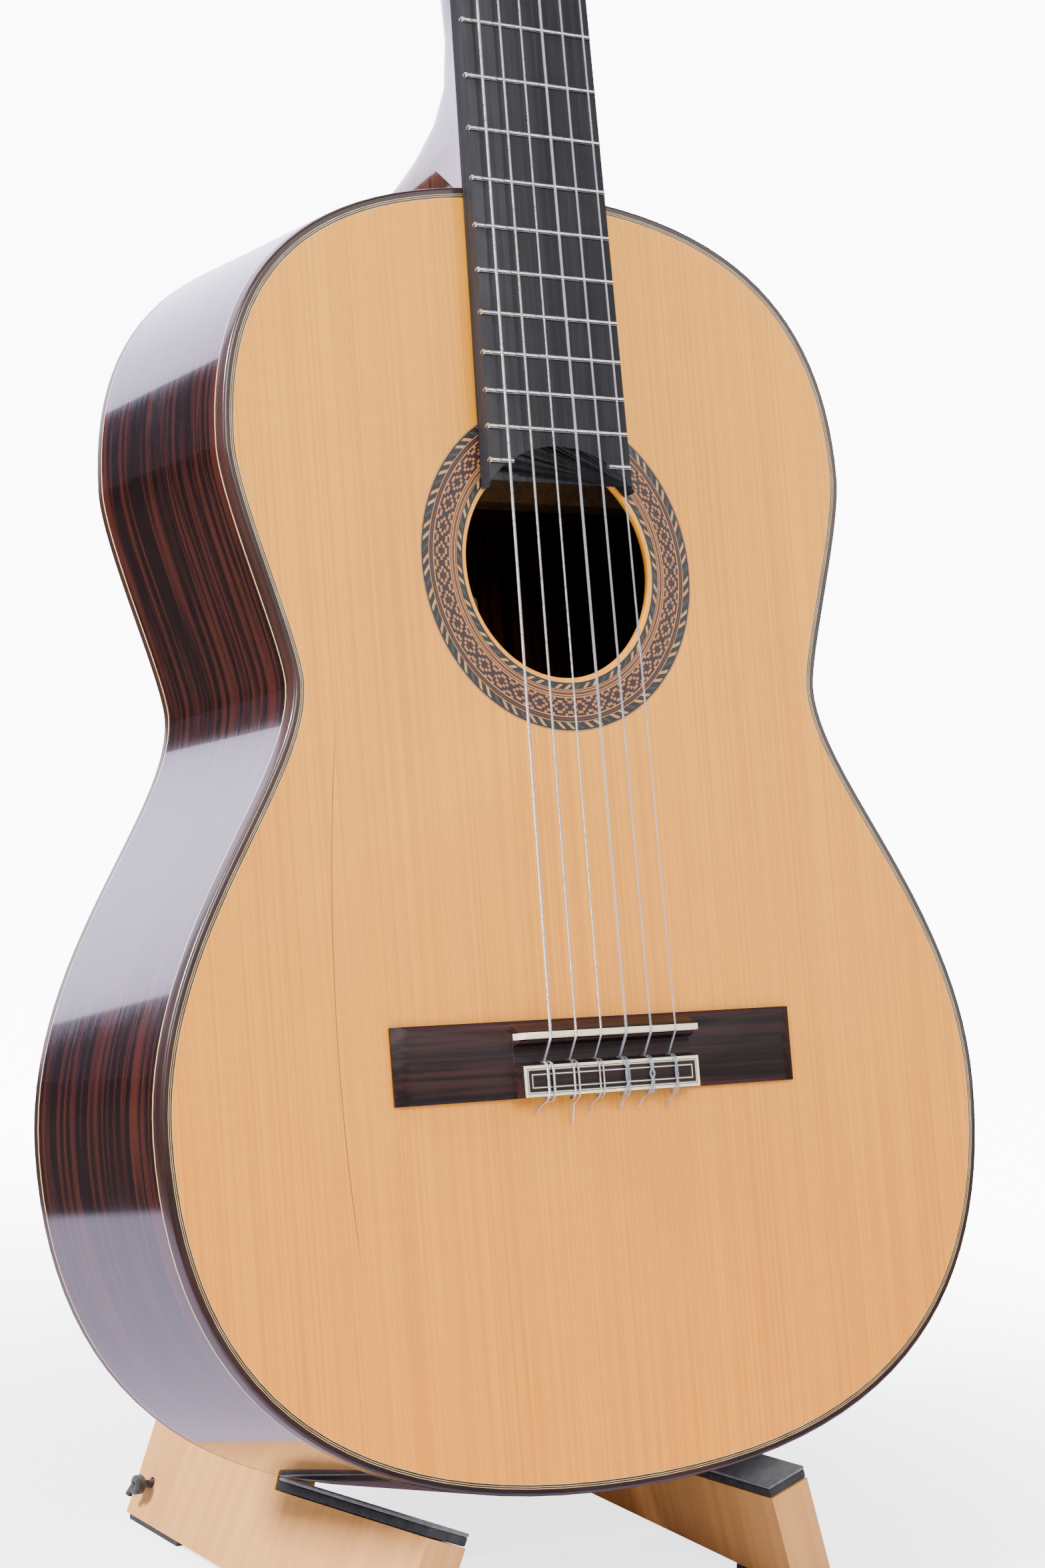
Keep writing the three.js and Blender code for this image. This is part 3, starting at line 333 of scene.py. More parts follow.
def settle(piece, place, body, slot, *nodes):
    """Moves a piece from a working frame into the shared frame and hands it to its body."""
    piece.matrix_world = place @ piece.matrix_world
    freeze(piece)
    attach(piece, body)
    if nodes:
        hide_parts(*nodes)
    return piece


def paint(piece, *finishes):
    """Gives a piece its finishes, keeping the number that each face already has."""
    numbers = [face.material_index for face in piece.data.polygons]
    piece.data.materials.clear()
    for made in finishes:
        piece.data.materials.append(made)
    for face, number in zip(piece.data.polygons, numbers):
        face.material_index = min(number, len(finishes) - 1)


def paint_faces(piece, number, test):
    """Gives material number to the faces whose middle passes the test."""
    for face in piece.data.polygons:
        if test(face.center):
            face.material_index = number


def polished(node, name, width, place=None, segments=2, sharpness=30, smoothness=35, allow=None):
    """A copy of a CAD node, in a working frame, with its sharp edges eased."""
    piece = copy_piece(NODES[node], name)
    if place is not None:
        piece.matrix_world = place.inverted()
        freeze(piece)
    start_edit(piece, "VERT")
    bpy.ops.mesh.remove_doubles(threshold=0.00001)
    bpy.ops.mesh.dissolve_limited(angle_limit=math.radians(0.6))
    bpy.ops.mesh.select_mode(type="EDGE")
    limit = math.radians(sharpness)

    def sharp(edge):
        if len(edge.link_faces) != 2 or edge.calc_face_angle(0) < limit:
            return False
        return allow is None or allow(middle(edge))

    if width > 0 and pick(piece, "edges", sharp):
        bpy.ops.mesh.bevel(offset=width, segments=segments, affect="EDGES", clamp_overlap=True)
    end_edit()
    smooth(piece, smoothness)
    return piece


# ------------------------------------------------------------------ shader helpers
FINISHES = {}


def put(tree, kind, settings=None, **sockets):
    """Adds a shader node. A socket's name has _ for each space; a link or a value may be given."""
    made = tree.nodes.new("ShaderNode" + kind)
    for key, value in (settings or {}).items():
        setattr(made, key, value)
    for key, value in sockets.items():
        feed(tree, made.inputs[key.replace("_", " ")], value)
    return made


def feed(tree, socket, value):
    if isinstance(value, bpy.types.NodeSocket):
        tree.links.new(value, socket)
    else:
        socket.default_value = value


def calc(tree, operation, *values, clamp=False):
    made = tree.nodes.new("ShaderNodeMath")
    made.operation = operation
    made.use_clamp = clamp
    for socket, value in zip(made.inputs, values):
        feed(tree, socket, value)
    return made.outputs[0]


def blend_colours(tree, share, first, second, how="MIX"):
    made = tree.nodes.new("ShaderNodeMix")
    made.data_type = "RGBA"
    made.blend_type = how
    feed(tree, made.inputs["Factor"], share)
    feed(tree, made.inputs[6], first)
    feed(tree, made.inputs[7], second)
    return made.outputs[2]


def in_band(tree, value, low, high):
    """1 where the value lies between low and high, else 0."""
    return calc(
        tree, "MULTIPLY", calc(tree, "GREATER_THAN", value, low), calc(tree, "LESS_THAN", value, high)
    )


def between(tree, value, low, high, to_low=0.0, to_high=1.0):
    made = put(tree, "MapRange", {"interpolation_type": "SMOOTHSTEP"}, Value=value)
    made.inputs["From Min"].default_value = low
    made.inputs["From Max"].default_value = high
    made.inputs["To Min"].default_value = to_low
    made.inputs["To Max"].default_value = to_high
    return made.outputs[0]


def place_in(tree, place=None, scale=(1, 1, 1)):
    """Object coordinates seen from a working frame, stretched along its axes."""
    vector = put(tree, "TexCoord").outputs["Object"]
    if place is not None:
        back = place.inverted()
        turned = put(tree, "Mapping", Vector=vector)
        turned.inputs["Rotation"].default_value = back.to_euler()
        turned.inputs["Location"].default_value = back.translation
        vector = turned.outputs[0]
    if scale != (1, 1, 1):
        vector = put(tree, "Mapping", Vector=vector, Scale=scale).outputs[0]
    return vector


def start_group(name, inputs, outputs):
    group = bpy.data.node_groups.new(name, "ShaderNodeTree")
    for label, kind, value in inputs:
        socket = group.interface.new_socket(name=label, in_out="INPUT", socket_type="NodeSocket" + kind)
        if value is not None:
            socket.default_value = value
    for label, kind in outputs:
        group.interface.new_socket(name=label, in_out="OUTPUT", socket_type="NodeSocket" + kind)
    start = group.nodes.new("NodeGroupInput")
    end = group.nodes.new("NodeGroupOutput")
    return group, start.outputs, end.inputs


def wood_grain_group():
    """Long wandering fibres between two colours, over broad bands of tone."""
    inputs = [
        ("Vector", "Vector", None),
        ("Pale", "Color", (0.8, 0.6, 0.4, 1)),
        ("Dark", "Color", (0.5, 0.3, 0.2, 1)),
        ("Wander", "Float", 0.5),
        ("Contrast", "Float", 1.0),
        ("Bands", "Float", 0.3),
    ]
    group, given, result = start_group("Wood grain", inputs, [("Color", "Color"), ("Lines", "Float")])
    drift = put(group, "TexNoise", Vector=given["Vector"], Scale=0.11, Detail=2.0)
    centred = put(group, "VectorMath", {"operation": "SUBTRACT"})
    feed(group, centred.inputs[0], drift.outputs["Color"])
    centred.inputs[1].default_value = (0.5, 0.5, 0.5)
    scaled = put(group, "VectorMath", {"operation": "SCALE"}, Scale=given["Wander"])
    feed(group, scaled.inputs[0], centred.outputs[0])
    moved = put(group, "VectorMath", {"operation": "ADD"})
    feed(group, moved.inputs[0], given["Vector"])
    feed(group, moved.inputs[1], scaled.outputs[0])
    fine = put(group, "TexNoise", Vector=moved.outputs[0], Scale=1.0, Detail=4.0, Roughness=0.62)
    broad = put(group, "TexNoise", Vector=moved.outputs[0], Scale=0.07, Detail=3.0)
    lines = between(group, fine.outputs["Fac"], 0.36, 0.66)
    bands = between(group, broad.outputs["Fac"], 0.3, 0.7)
    share = calc(group, "MULTIPLY", lines, given["Contrast"])
    banded = calc(group, "MULTIPLY", bands, given["Bands"])
    feed(
        group, result["Color"],
        blend_colours(group, calc(group, "ADD", share, banded, clamp=True), given["Pale"], given["Dark"])
    )
    feed(group, result["Lines"], lines)
    return group


def surface_wear_group():
    """Uneven gloss and small handling marks."""
    inputs = [
        ("Vector", "Vector", None),
        ("Scale", "Float", 60.0),
        ("Smoothest", "Float", 0.2),
        ("Roughest", "Float", 0.4),
    ]
    group, given, result = start_group("Surface wear", inputs, [("Roughness", "Float"), ("Height", "Float")])
    soft = put(group, "TexNoise", Vector=given["Vector"], Scale=given["Scale"], Detail=5.0, Roughness=0.6)
    share = between(group, soft.outputs["Fac"], 0.3, 0.72)
    span = calc(group, "SUBTRACT", given["Roughest"], given["Smoothest"])
    feed(
        group, result["Roughness"],
        calc(group, "ADD", given["Smoothest"], calc(group, "MULTIPLY", share, span))
    )
    feed(group, result["Height"], soft.outputs["Fac"])
    return group


GROUPS = {}


def shared_group(maker):
    if maker not in GROUPS:
        GROUPS[maker] = maker()
    return GROUPS[maker]


def use_group(tree, maker, **sockets):
    made = tree.nodes.new("ShaderNodeGroup")
    made.node_tree = shared_group(maker)
    for key, value in sockets.items():
        feed(tree, made.inputs[key], value)
    return made.outputs


def start_finish(name):
    finish = bpy.data.materials.new(name)
    finish.use_nodes = True
    tree = finish.node_tree
    return finish, tree, tree.nodes["Principled BSDF"]


def set_shader(tree, shader, **sockets):
    for key, value in sockets.items():
        feed(tree, shader.inputs[key.replace("_", " ")], value)


def add_bump(tree, shader, height, depth, strength=1.0):
    bump = put(tree, "Bump", Height=height, Strength=strength, Distance=depth)
    feed(tree, shader.inputs["Normal"], bump.outputs[0])


def finish(name):
    """The finish of that name, made the first time that it is asked for."""
    if name not in FINISHES:
        FINISHES[name] = MAKERS[name](name)
    return FINISHES[name]


def wood_finish(
    place, scale, pale, dark, gloss=(0.3, 0.42), coat=0.0, wander=0.5, contrast=1.0, bands=0.3, depth=0.00003
):
    """A maker of wood finishes; scale gives lines per metre along each axis of the working frame."""

    def make(name):
        made, tree, shader = start_finish(name)
        vector = place_in(tree, place, scale)
        grain = use_group(
            tree, wood_grain_group, Vector=vector, Pale=(*pale, 1), Dark=(*dark, 1), Wander=wander,
            Contrast=contrast, Bands=bands
        )
        wear = use_group(
            tree, surface_wear_group, Vector=place_in(tree), Scale=45.0, Smoothest=gloss[0], Roughest=gloss[1]
        )
        set_shader(tree, shader, Base_Color=grain["Color"], Roughness=wear["Roughness"], Coat_Weight=coat)
        shader.inputs["Coat Roughness"].default_value = 0.04
        if not coat:
            shader.inputs["Specular IOR Level"].default_value = 0.25
        add_bump(tree, shader, grain["Lines"], depth)
        return made

    return make


def metal_finish(colour, gloss, scale=220.0):
    def make(name):
        made, tree, shader = start_finish(name)
        vector = place_in(tree)
        wear = use_group(
            tree, surface_wear_group, Vector=vector, Scale=scale, Smoothest=gloss[0], Roughest=gloss[1]
        )
        tarnish = put(tree, "TexNoise", Vector=vector, Scale=130.0, Detail=4.0)
        share = between(tree, tarnish.outputs["Fac"], 0.35, 0.75, 0.0, 0.35)
        darker = tuple(channel * 0.62 for channel in colour)
        set_shader(
            tree,
            shader,
            Base_Color=blend_colours(tree, share, (*colour, 1), (*darker, 1)),
            Roughness=wear["Roughness"],
            Metallic=1.0,
        )
        add_bump(tree, shader, wear["Height"], 0.00001)
        return made

    return make


def speckled_finish(colour, other, gloss, scale, depth, sheen=0.0, coat=0.0, subsurface=0.0):
    """A maker of plain-coloured finishes with a fine uneven surface: foam, felt, rubber, bone."""

    def make(name):
        made, tree, shader = start_finish(name)
        vector = place_in(tree)
        cloud = put(tree, "TexNoise", Vector=vector, Scale=scale * 0.12, Detail=3.0)
        fine = put(tree, "TexNoise", Vector=vector, Scale=scale, Detail=3.0, Roughness=0.7)
        mixed = calc(
            tree, "ADD", calc(tree, "MULTIPLY", cloud.outputs["Fac"], 0.5),
            calc(tree, "MULTIPLY", fine.outputs["Fac"], 0.5)
        )
        share = between(tree, mixed, 0.35, 0.65)
        wear = use_group(
            tree, surface_wear_group, Vector=vector, Scale=scale * 0.3, Smoothest=gloss[0], Roughest=gloss[1]
        )
        set_shader(
            tree, shader, Base_Color=blend_colours(tree, share, (*colour, 1), (*other, 1)),
            Roughness=wear["Roughness"]
        )
        shader.inputs["Sheen Weight"].default_value = sheen
        shader.inputs["Coat Weight"].default_value = coat
        shader.inputs["Subsurface Weight"].default_value = subsurface
        shader.inputs["Subsurface Scale"].default_value = 0.002
        add_bump(tree, shader, fine.outputs["Fac"], depth)
        return made

    return make


def make_spruce(name):
    """Lacquered spruce: fine upright grain, deeper orange low down, and one hairline crack."""
    made, tree, shader = start_finish(name)
    own = place_in(tree, GUITAR)
    grain = use_group(
        tree,
        wood_grain_group,
        Vector=put(tree, "Mapping", Vector=own, Scale=(760, 300, 3.2)).outputs[0],
        Pale=tuple(colours().spruce_pale),
        Dark=tuple(colours().spruce_dark),
        Wander=0.9,
        Contrast=0.5,
        Bands=0.16,
    )
    across = put(tree, "SeparateXYZ", Vector=own)
    low_down = between(tree, across.outputs["Z"], -0.17, 0.30, 0.55, 0.0)
    warmed = blend_colours(tree, low_down, grain["Color"], (1.0, 0.78, 0.50, 1), "MULTIPLY")
    silk = put(
        tree, "TexNoise", Vector=put(tree, "Mapping", Vector=own, Scale=(46, 10, 240)).outputs[0], Scale=1.0,
        Detail=3.0
    )
    silky = blend_colours(
        tree, between(tree, silk.outputs["Fac"], 0.4, 0.75, 0.0, 0.10), warmed, (1.0, 0.80, 0.50, 1),
        "SOFT_LIGHT"
    )
    # The crack follows the grain: its place across the top is a gentle curve of its height
    height = across.outputs["Z"]
    curve = calc(
        tree, "ADD", calc(tree, "MULTIPLY", calc(tree, "MULTIPLY", height, height), 0.6259),
        calc(tree, "MULTIPLY", height, 0.0047)
    )
    aside = calc(
        tree, "ABSOLUTE", calc(tree, "SUBTRACT", across.outputs["X"], calc(tree, "ADD", curve, -0.11396))
    )
    thin = between(tree, aside, 0.00008, 0.00034, 1.0, 0.0)
    above = between(tree, height, -0.084, -0.060)
    below = between(tree, height, 0.098, 0.118, 1.0, 0.0)
    crack = calc(tree, "MULTIPLY", thin, calc(tree, "MULTIPLY", above, below))
    coloured = blend_colours(tree, calc(tree, "MULTIPLY", crack, 0.75), silky, (0.10, 0.035, 0.012, 1))
    wear = use_group(
        tree, surface_wear_group, Vector=place_in(tree), Scale=24.0, Smoothest=0.38, Roughest=0.48
    )
    set_shader(tree, shader, Base_Color=coloured, Roughness=wear["Roughness"], Coat_Weight=0.12)
    shader.inputs["Coat Roughness"].default_value = 0.22
    relief = calc(tree, "SUBTRACT", calc(tree, "MULTIPLY", grain["Lines"], 0.25), crack)
    add_bump(tree, shader, relief, 0.00006)
    return made


def make_rosette(name):
    """Inlaid rings of generic mosaic, drawn by distance from the hole's middle and by angle."""
    made, tree, shader = start_finish(name)
    centre = GUITAR @ Matrix.Translation((0, 0, HOLE_Z))
    own = put(tree, "SeparateXYZ", Vector=place_in(tree, centre, (1000, 1000, 1000)))
    x, z = own.outputs["X"], own.outputs["Z"]
    radius = calc(tree, "SQRT", calc(tree, "ADD", calc(tree, "MULTIPLY", x, x), calc(tree, "MULTIPLY", z, z)))
    turn = calc(tree, "DIVIDE", calc(tree, "ARCTAN2", z, x), 2 * math.pi)
    span = (44.2, 63.0)
    share = calc(tree, "DIVIDE", calc(tree, "SUBTRACT", radius, span[0]), span[1] - span[0])
    black, pale, tan, red = (0.010, 0.008, 0.008, 1), (0.46, 0.20, 0.045, 1), (0.36, 0.14, 0.030, 1), (
        0.09, 0.018, 0.009, 1
    )
    rings = [
        (44.2, black), (46.8, pale), (47.1, black), (47.5, pale), (47.9, red), (48.8, pale), (49.2, black),
        (49.6, pale),
        (50.1, tan), (56.9, pale), (57.3, black), (57.8, red), (58.4, black), (58.9, pale), (59.2, black),
        (62.4, pale),
    ]
    ramp = put(tree, "ValToRGB", Fac=share)
    ramp.color_ramp.interpolation = "CONSTANT"
    stops = ramp.color_ramp.elements
    while len(stops) > 1:
        stops.remove(stops[-1])
    stops[0].position = 0
    stops[0].color = rings[0][1]
    for start, colour in rings[1:]:
        stops.new((start - span[0]) / (span[1] - span[0])).color = colour
    coloured = ramp.outputs["Color"]

    def within(low, high):
        return in_band(tree, radius, low, high)

    def dashes(low, high, count, slant, base):
        """A band of slanted blocks in three colours."""
        along = calc(tree, "ADD", calc(tree, "MULTIPLY", turn, count), calc(tree, "MULTIPLY", radius, slant))
        step = calc(tree, "FLOORED_MODULO", along, 3.0)
        part = calc(tree, "FRACT", along)
        block = calc(tree, "LESS_THAN", part, 0.38)
        green = blend_colours(
            tree, calc(tree, "GREATER_THAN", step, 1.0), (0.42, 0.27, 0.10, 1), (0.030, 0.034, 0.022, 1)
        )
        brown = blend_colours(tree, calc(tree, "GREATER_THAN", step, 2.0), green, (0.52, 0.22, 0.05, 1))
        chosen = blend_colours(tree, block, black, brown)
        return blend_colours(tree, within(low, high), base, chosen)

    coloured = dashes(44.9, 46.6, 66.0, 0.3, coloured)
    coloured = dashes(59.4, 61.8, 87.0, -0.28, coloured)
    # Stepped diamonds of small square tiles in the broad ring
    tile = 0.98
    column = calc(tree, "FRACT", calc(tree, "MULTIPLY", turn, 36.0))
    column = calc(
        tree, "ABSOLUTE",
        calc(tree, "SUBTRACT", calc(tree, "FLOOR", calc(tree, "MULTIPLY", column, 8.0)), 3.5)
    )
    row = calc(tree, "FLOOR", calc(tree, "DIVIDE", calc(tree, "SUBTRACT", radius, 50.1), tile))
    row = calc(tree, "ABSOLUTE", calc(tree, "SUBTRACT", row, 3.0))
    ring = calc(tree, "ADD", column, row)
    inner = calc(tree, "LESS_THAN", ring, 2.0)
    outer = in_band(tree, ring, 3.0, 5.0)
    edge = calc(tree, "GREATER_THAN", ring, 6.0)
    motif = calc(tree, "ADD", calc(tree, "ADD", inner, outer), edge, clamp=True)
    tiles = blend_colours(tree, motif, (0.40, 0.155, 0.030, 1), (0.020, 0.005, 0.008, 1))
    coloured = blend_colours(tree, within(50.1, 56.9), coloured, tiles)
    uneven = put(tree, "TexNoise", Vector=place_in(tree), Scale=900.0, Detail=3.0)
    coloured = blend_colours(
        tree, between(tree, uneven.outputs["Fac"], 0.35, 0.7, 0.0, 0.45), coloured, (0.55, 0.45, 0.38, 1),
        "MULTIPLY"
    )
    wear = use_group(
        tree, surface_wear_group, Vector=place_in(tree), Scale=24.0, Smoothest=0.38, Roughest=0.48
    )
    set_shader(tree, shader, Base_Color=coloured, Roughness=wear["Roughness"], Coat_Weight=0.12)
    shader.inputs["Coat Roughness"].default_value = 0.22
    add_bump(tree, shader, uneven.outputs["Fac"], 0.00002)
    return made


def make_wound(name):
    """Silver winding on the bass strings, as fine rings along the string, darker in the gaps between turns as painted
    shade.
    """
    made, tree, shader = start_finish(name)
    height = put(tree, "SeparateXYZ", Vector=place_in(tree, GUITAR)).outputs["Z"]
    wave = calc(tree, "SINE", calc(tree, "MULTIPLY", height, 2 * math.pi / 0.00036))
    # Painted shade: the metal is darker in the gaps between turns
    share = between(tree, wave, -1.0, 0.4)
    wear = use_group(
        tree, surface_wear_group, Vector=place_in(tree), Scale=300.0, Smoothest=0.24, Roughest=0.38
    )
    colour = blend_colours(tree, share, (0.55, 0.54, 0.55, 1), (0.95, 0.94, 0.94, 1))
    set_shader(tree, shader, Base_Color=colour, Roughness=wear["Roughness"], Metallic=0.9)
    add_bump(tree, shader, wave, 0.00004)
    return made


def make_nylon(name):
    made, tree, shader = start_finish(name)
    wear = use_group(
        tree, surface_wear_group, Vector=place_in(tree), Scale=180.0, Smoothest=0.12, Roughest=0.24
    )
    haze = put(tree, "TexNoise", Vector=place_in(tree), Scale=90.0)
    colour = blend_colours(
        tree, between(tree, haze.outputs["Fac"], 0.3, 0.7), (0.80, 0.84, 0.93, 1), (0.70, 0.74, 0.86, 1)
    )
    set_shader(tree, shader, Base_Color=colour, Roughness=wear["Roughness"], IOR=1.53)
    shader.inputs["Transmission Weight"].default_value = 0.8
    return made


def make_paper(name):
    """A plain aged label with a ruled border and no lettering."""
    made, tree, shader = start_finish(name)
    own = put(tree, "SeparateXYZ", Vector=place_in(tree, GUITAR @ Matrix.Translation((LABEL_X, 0, LABEL_Z))))
    across = calc(tree, "ABSOLUTE", own.outputs["X"])
    along = calc(tree, "ABSOLUTE", own.outputs["Z"])
    reach = calc(
        tree, "MAXIMUM", calc(tree, "SUBTRACT", across, LABEL_HALF[0]),
        calc(tree, "SUBTRACT", along, LABEL_HALF[1])
    )
    outer = in_band(tree, reach, -0.0042, -0.0030)
    inner = in_band(tree, reach, -0.0075, -0.0050)
    beads = calc(
        tree, "GREATER_THAN",
        calc(
            tree, "SINE",
            calc(tree, "MULTIPLY", calc(tree, "ADD", own.outputs["X"], own.outputs["Z"]), 2600.0)
        ),
        0.1
    )
    lines = calc(tree, "MAXIMUM", outer, calc(tree, "MULTIPLY", inner, beads))
    stain = put(tree, "TexNoise", Vector=place_in(tree), Scale=30.0, Detail=5.0)
    paper = blend_colours(
        tree, between(tree, stain.outputs["Fac"], 0.35, 0.7), (0.34, 0.27, 0.17, 1), (0.24, 0.18, 0.10, 1)
    )
    coloured = blend_colours(tree, calc(tree, "MULTIPLY", lines, 0.7), paper, (0.16, 0.09, 0.05, 1))
    set_shader(tree, shader, Base_Color=coloured, Roughness=0.85)
    add_bump(tree, shader, stain.outputs["Fac"], 0.0001)
    return made


def side_rosewood(name):
    pale, dark = tuple(colours().rosewood_pale)[:3], tuple(colours().rosewood_dark)[:3]
    return wood_finish(GUITAR, (7, 330, 7), pale, dark, (0.10, 0.16), 1.0, 1.3, 1.25, 0.55, 0.000008)(name)


def back_rosewood(name):
    pale, dark = tuple(colours().rosewood_pale)[:3], tuple(colours().rosewood_dark)[:3]
    return wood_finish(GUITAR, (330, 40, 5), pale, dark, (0.10, 0.16), 1.0, 1.3, 1.2, 0.5, 0.000008)(name)


def leg_wood(side):
    def make(name):
        pale, dark = tuple(colours().stand_pale)[:3], tuple(colours().stand_dark)[:3]
        return wood_finish(LEGS[side], (260, 210, 5), pale, dark, (0.42, 0.56), 0.0, 2.2, 0.42, 0.28, 0.00003)(
            name
        )

    return make


LABEL_X = -0.012
LABEL_Z = 0.150
LABEL_HALF = (0.040, 0.032)
PALE_LINE = ((0.70, 0.47, 0.20), (0.52, 0.31, 0.11))
DARK_LINE = ((0.022, 0.014, 0.012), (0.010, 0.007, 0.006))
RED_LINE = ((0.20, 0.05, 0.022), (0.10, 0.022, 0.012))
MAKERS = {
    "Lacquered spruce": make_spruce,
    "Rosette mosaic": make_rosette,
    "Side rosewood": side_rosewood,
    "Back rosewood": back_rosewood,
    "Binding rosewood": wood_finish(
        GUITAR, (8, 200, 8), (0.040, 0.014, 0.010), (0.014, 0.006, 0.005), (0.26, 0.36), 0.3, depth=0.000008
    ),
    "Pale line": wood_finish(GUITAR, (90, 90, 90), *PALE_LINE, (0.25, 0.35), 0.5, depth=0.000005),
    "Dark line": wood_finish(GUITAR, (90, 90, 90), *DARK_LINE, (0.25, 0.35), 0.5, depth=0.000005),
    "Red line": wood_finish(GUITAR, (90, 90, 90), *RED_LINE, (0.25, 0.35), 0.5, depth=0.000005),
    # Spruce of the braces, painted far darker than its own pale colour: painted shade inside the body
    "Bare spruce": wood_finish(
        GUITAR, (260, 260, 260), (0.22, 0.12, 0.050), (0.15, 0.075, 0.030), (0.6, 0.75), 0.0, 0.6, 0.6, 0.3
    ),
    "Kerfed lining": wood_finish(
        GUITAR, (140, 140, 300), (0.55, 0.36, 0.20), (0.36, 0.22, 0.11), (0.6, 0.75), 0.0, 0.6, 0.8, 0.3
    ),
    "Neck wood": wood_finish(GUITAR, (420, 420, 6), *CEDRO, (0.16, 0.26), 0.9, 0.8, 0.9, 0.35),
    "Head wood": wood_finish(HEAD, (420, 420, 6), *CEDRO, (0.16, 0.26), 0.9, 0.8, 0.9, 0.35),
    "Head veneer": wood_finish(
        HEAD, (330, 40, 5), (0.10, 0.030, 0.020), (0.018, 0.008, 0.007), (0.12, 0.2), 1.0, 1.3, 1.1, 0.5
    ),
    "Ebony": wood_finish(
        GUITAR, (380, 380, 7), (0.016, 0.015, 0.019), (0.006, 0.006, 0.007), (0.42, 0.54), 0.0, 0.8, 0.8, 0.4,
        0.00002
    ),
    "Bridge rosewood": wood_finish(
        GUITAR, (6, 300, 330), (0.036, 0.012, 0.010), (0.009, 0.004, 0.004), (0.40, 0.5), 0.0, 1.2, 1.1, 0.4,
        0.00002
    ),
    "Bone": speckled_finish(
        (0.80, 0.70, 0.50), (0.72, 0.61, 0.42), (0.28, 0.42), 420.0, 0.00001, subsurface=0.15
    ),
    "Fret silver": metal_finish((0.78, 0.77, 0.75), (0.16, 0.30)),
    "Brass": metal_finish((0.78, 0.55, 0.22), (0.18, 0.34)),
    "Steel": metal_finish((0.62, 0.62, 0.63), (0.22, 0.38)),
    "Wound silver": make_wound,
    "Clear nylon": make_nylon,
    "Pearl button": speckled_finish(
        (0.84, 0.80, 0.70), (0.62, 0.56, 0.44), (0.12, 0.22), 160.0, 0.000004, coat=0.6, subsurface=0.1
    ),
    "Roller white": speckled_finish((0.80, 0.79, 0.74), (0.70, 0.68, 0.61), (0.3, 0.42), 300.0, 0.00001),
    "Left board": leg_wood("left"),
    "Right board": leg_wood("right"),
    "Black foam": speckled_finish(
        (0.014, 0.014, 0.015), (0.030, 0.030, 0.032), (0.82, 0.95), 1500.0, 0.00035
    ),
    "Grey felt": speckled_finish(
        (0.055, 0.055, 0.060), (0.11, 0.11, 0.115), (0.88, 0.97), 2200.0, 0.0002, sheen=0.5
    ),
    "Black rubber": speckled_finish(
        (0.016, 0.016, 0.017), (0.028, 0.028, 0.029), (0.55, 0.75), 900.0, 0.00008
    ),
    "Black cord": speckled_finish(
        (0.012, 0.012, 0.013), (0.040, 0.040, 0.043), (0.7, 0.85), 1700.0, 0.0003, sheen=0.2
    ),
    "Label paper": make_paper,
}


# ------------------------------------------------------------------ the body
def outline_face(name):
    """The guitar's outline as one face in the plane y = 0, looking out of the front."""
    bpy.ops.object.select_all(action="DESELECT")
    bpy.ops.curve.primitive_bezier_circle_add()
    curve = bpy.context.active_object
    bpy.ops.object.mode_set(mode="EDIT")
    bpy.ops.curve.select_all(action="SELECT")
    bpy.ops.curve.subdivide()
    bpy.ops.object.mode_set(mode="OBJECT")
    curve.data.dimensions = "3D"
    curve.data.resolution_u = sizes().outline_steps
    for knot, (place, before, after) in zip(curve.data.splines[0].bezier_points, OUTLINE):
        knot.handle_left_type = "FREE"
        knot.handle_right_type = "FREE"
        knot.co = Vector((place[0], 0, place[1])) * MM
        knot.handle_left = Vector((before[0], 0, before[1])) * MM
        knot.handle_right = Vector((after[0], 0, after[1])) * MM
    activate(curve)
    bpy.ops.object.convert(target="MESH")
    piece = bpy.context.active_object
    piece.name = name
    piece.data.name = name
    start_edit(piece, "VERT")
    bpy.ops.mesh.remove_doubles(threshold=0.000001)
    bpy.ops.mesh.edge_face_add()
    face = bmesh.from_edit_mesh(piece.data).faces[:][0]
    face.normal_update()
    if face.normal.y > 0:
        bpy.ops.mesh.flip_normals()
    end_edit()
    return piece


def inset_picked(width):
    bpy.ops.mesh.inset(thickness=width, depth=0, use_boundary=True, use_even_offset=True)


def outline_ring(name, start, bands, y0, y1):
    """A flat ring that follows the outline: it starts that far in, and each band has its own material."""
    piece = outline_face(name)
    for _ in range(max(number for _, number in bands) + 1):
        piece.data.materials.append(None)
    start_edit(piece)
    if start > 0:
        inset_picked(start)
        mesh = bmesh.from_edit_mesh(piece.data)
        for face in mesh.faces:
            face.select_set(not face.select)
        bmesh.update_edit_mesh(piece.data)
        bpy.ops.mesh.delete(type="FACE")
        bpy.ops.mesh.select_all(action="SELECT")
    for width, number in bands:
        mesh = bmesh.from_edit_mesh(piece.data)
        for face in mesh.faces:
            if face.select:
                face.material_index = number
        bmesh.update_edit_mesh(piece.data)
        inset_picked(width)
    bpy.ops.mesh.delete(type="ONLY_FACE")
    bpy.ops.mesh.select_all(action="SELECT")
    bpy.ops.transform.translate(value=(0, y0, 0))
    bpy.ops.mesh.extrude_region_move(TRANSFORM_OT_translate={"value": (0, y1 - y0, 0)})
    bpy.ops.mesh.select_all(action="SELECT")
    bpy.ops.mesh.normals_make_consistent(inside=False)
    end_edit()
    return piece


def outer_corner(edge, face_y, inner_reach):
    """Whether an edge lies along the ring's outer corner in the plane y = face_y."""
    if any(abs(vert.co.y - face_y) > 0.00001 for vert in edge.verts):
        return False
    return all(outline_gap(vert.co) < inner_reach for vert in edge.verts)


OUTLINE_POINTS = []


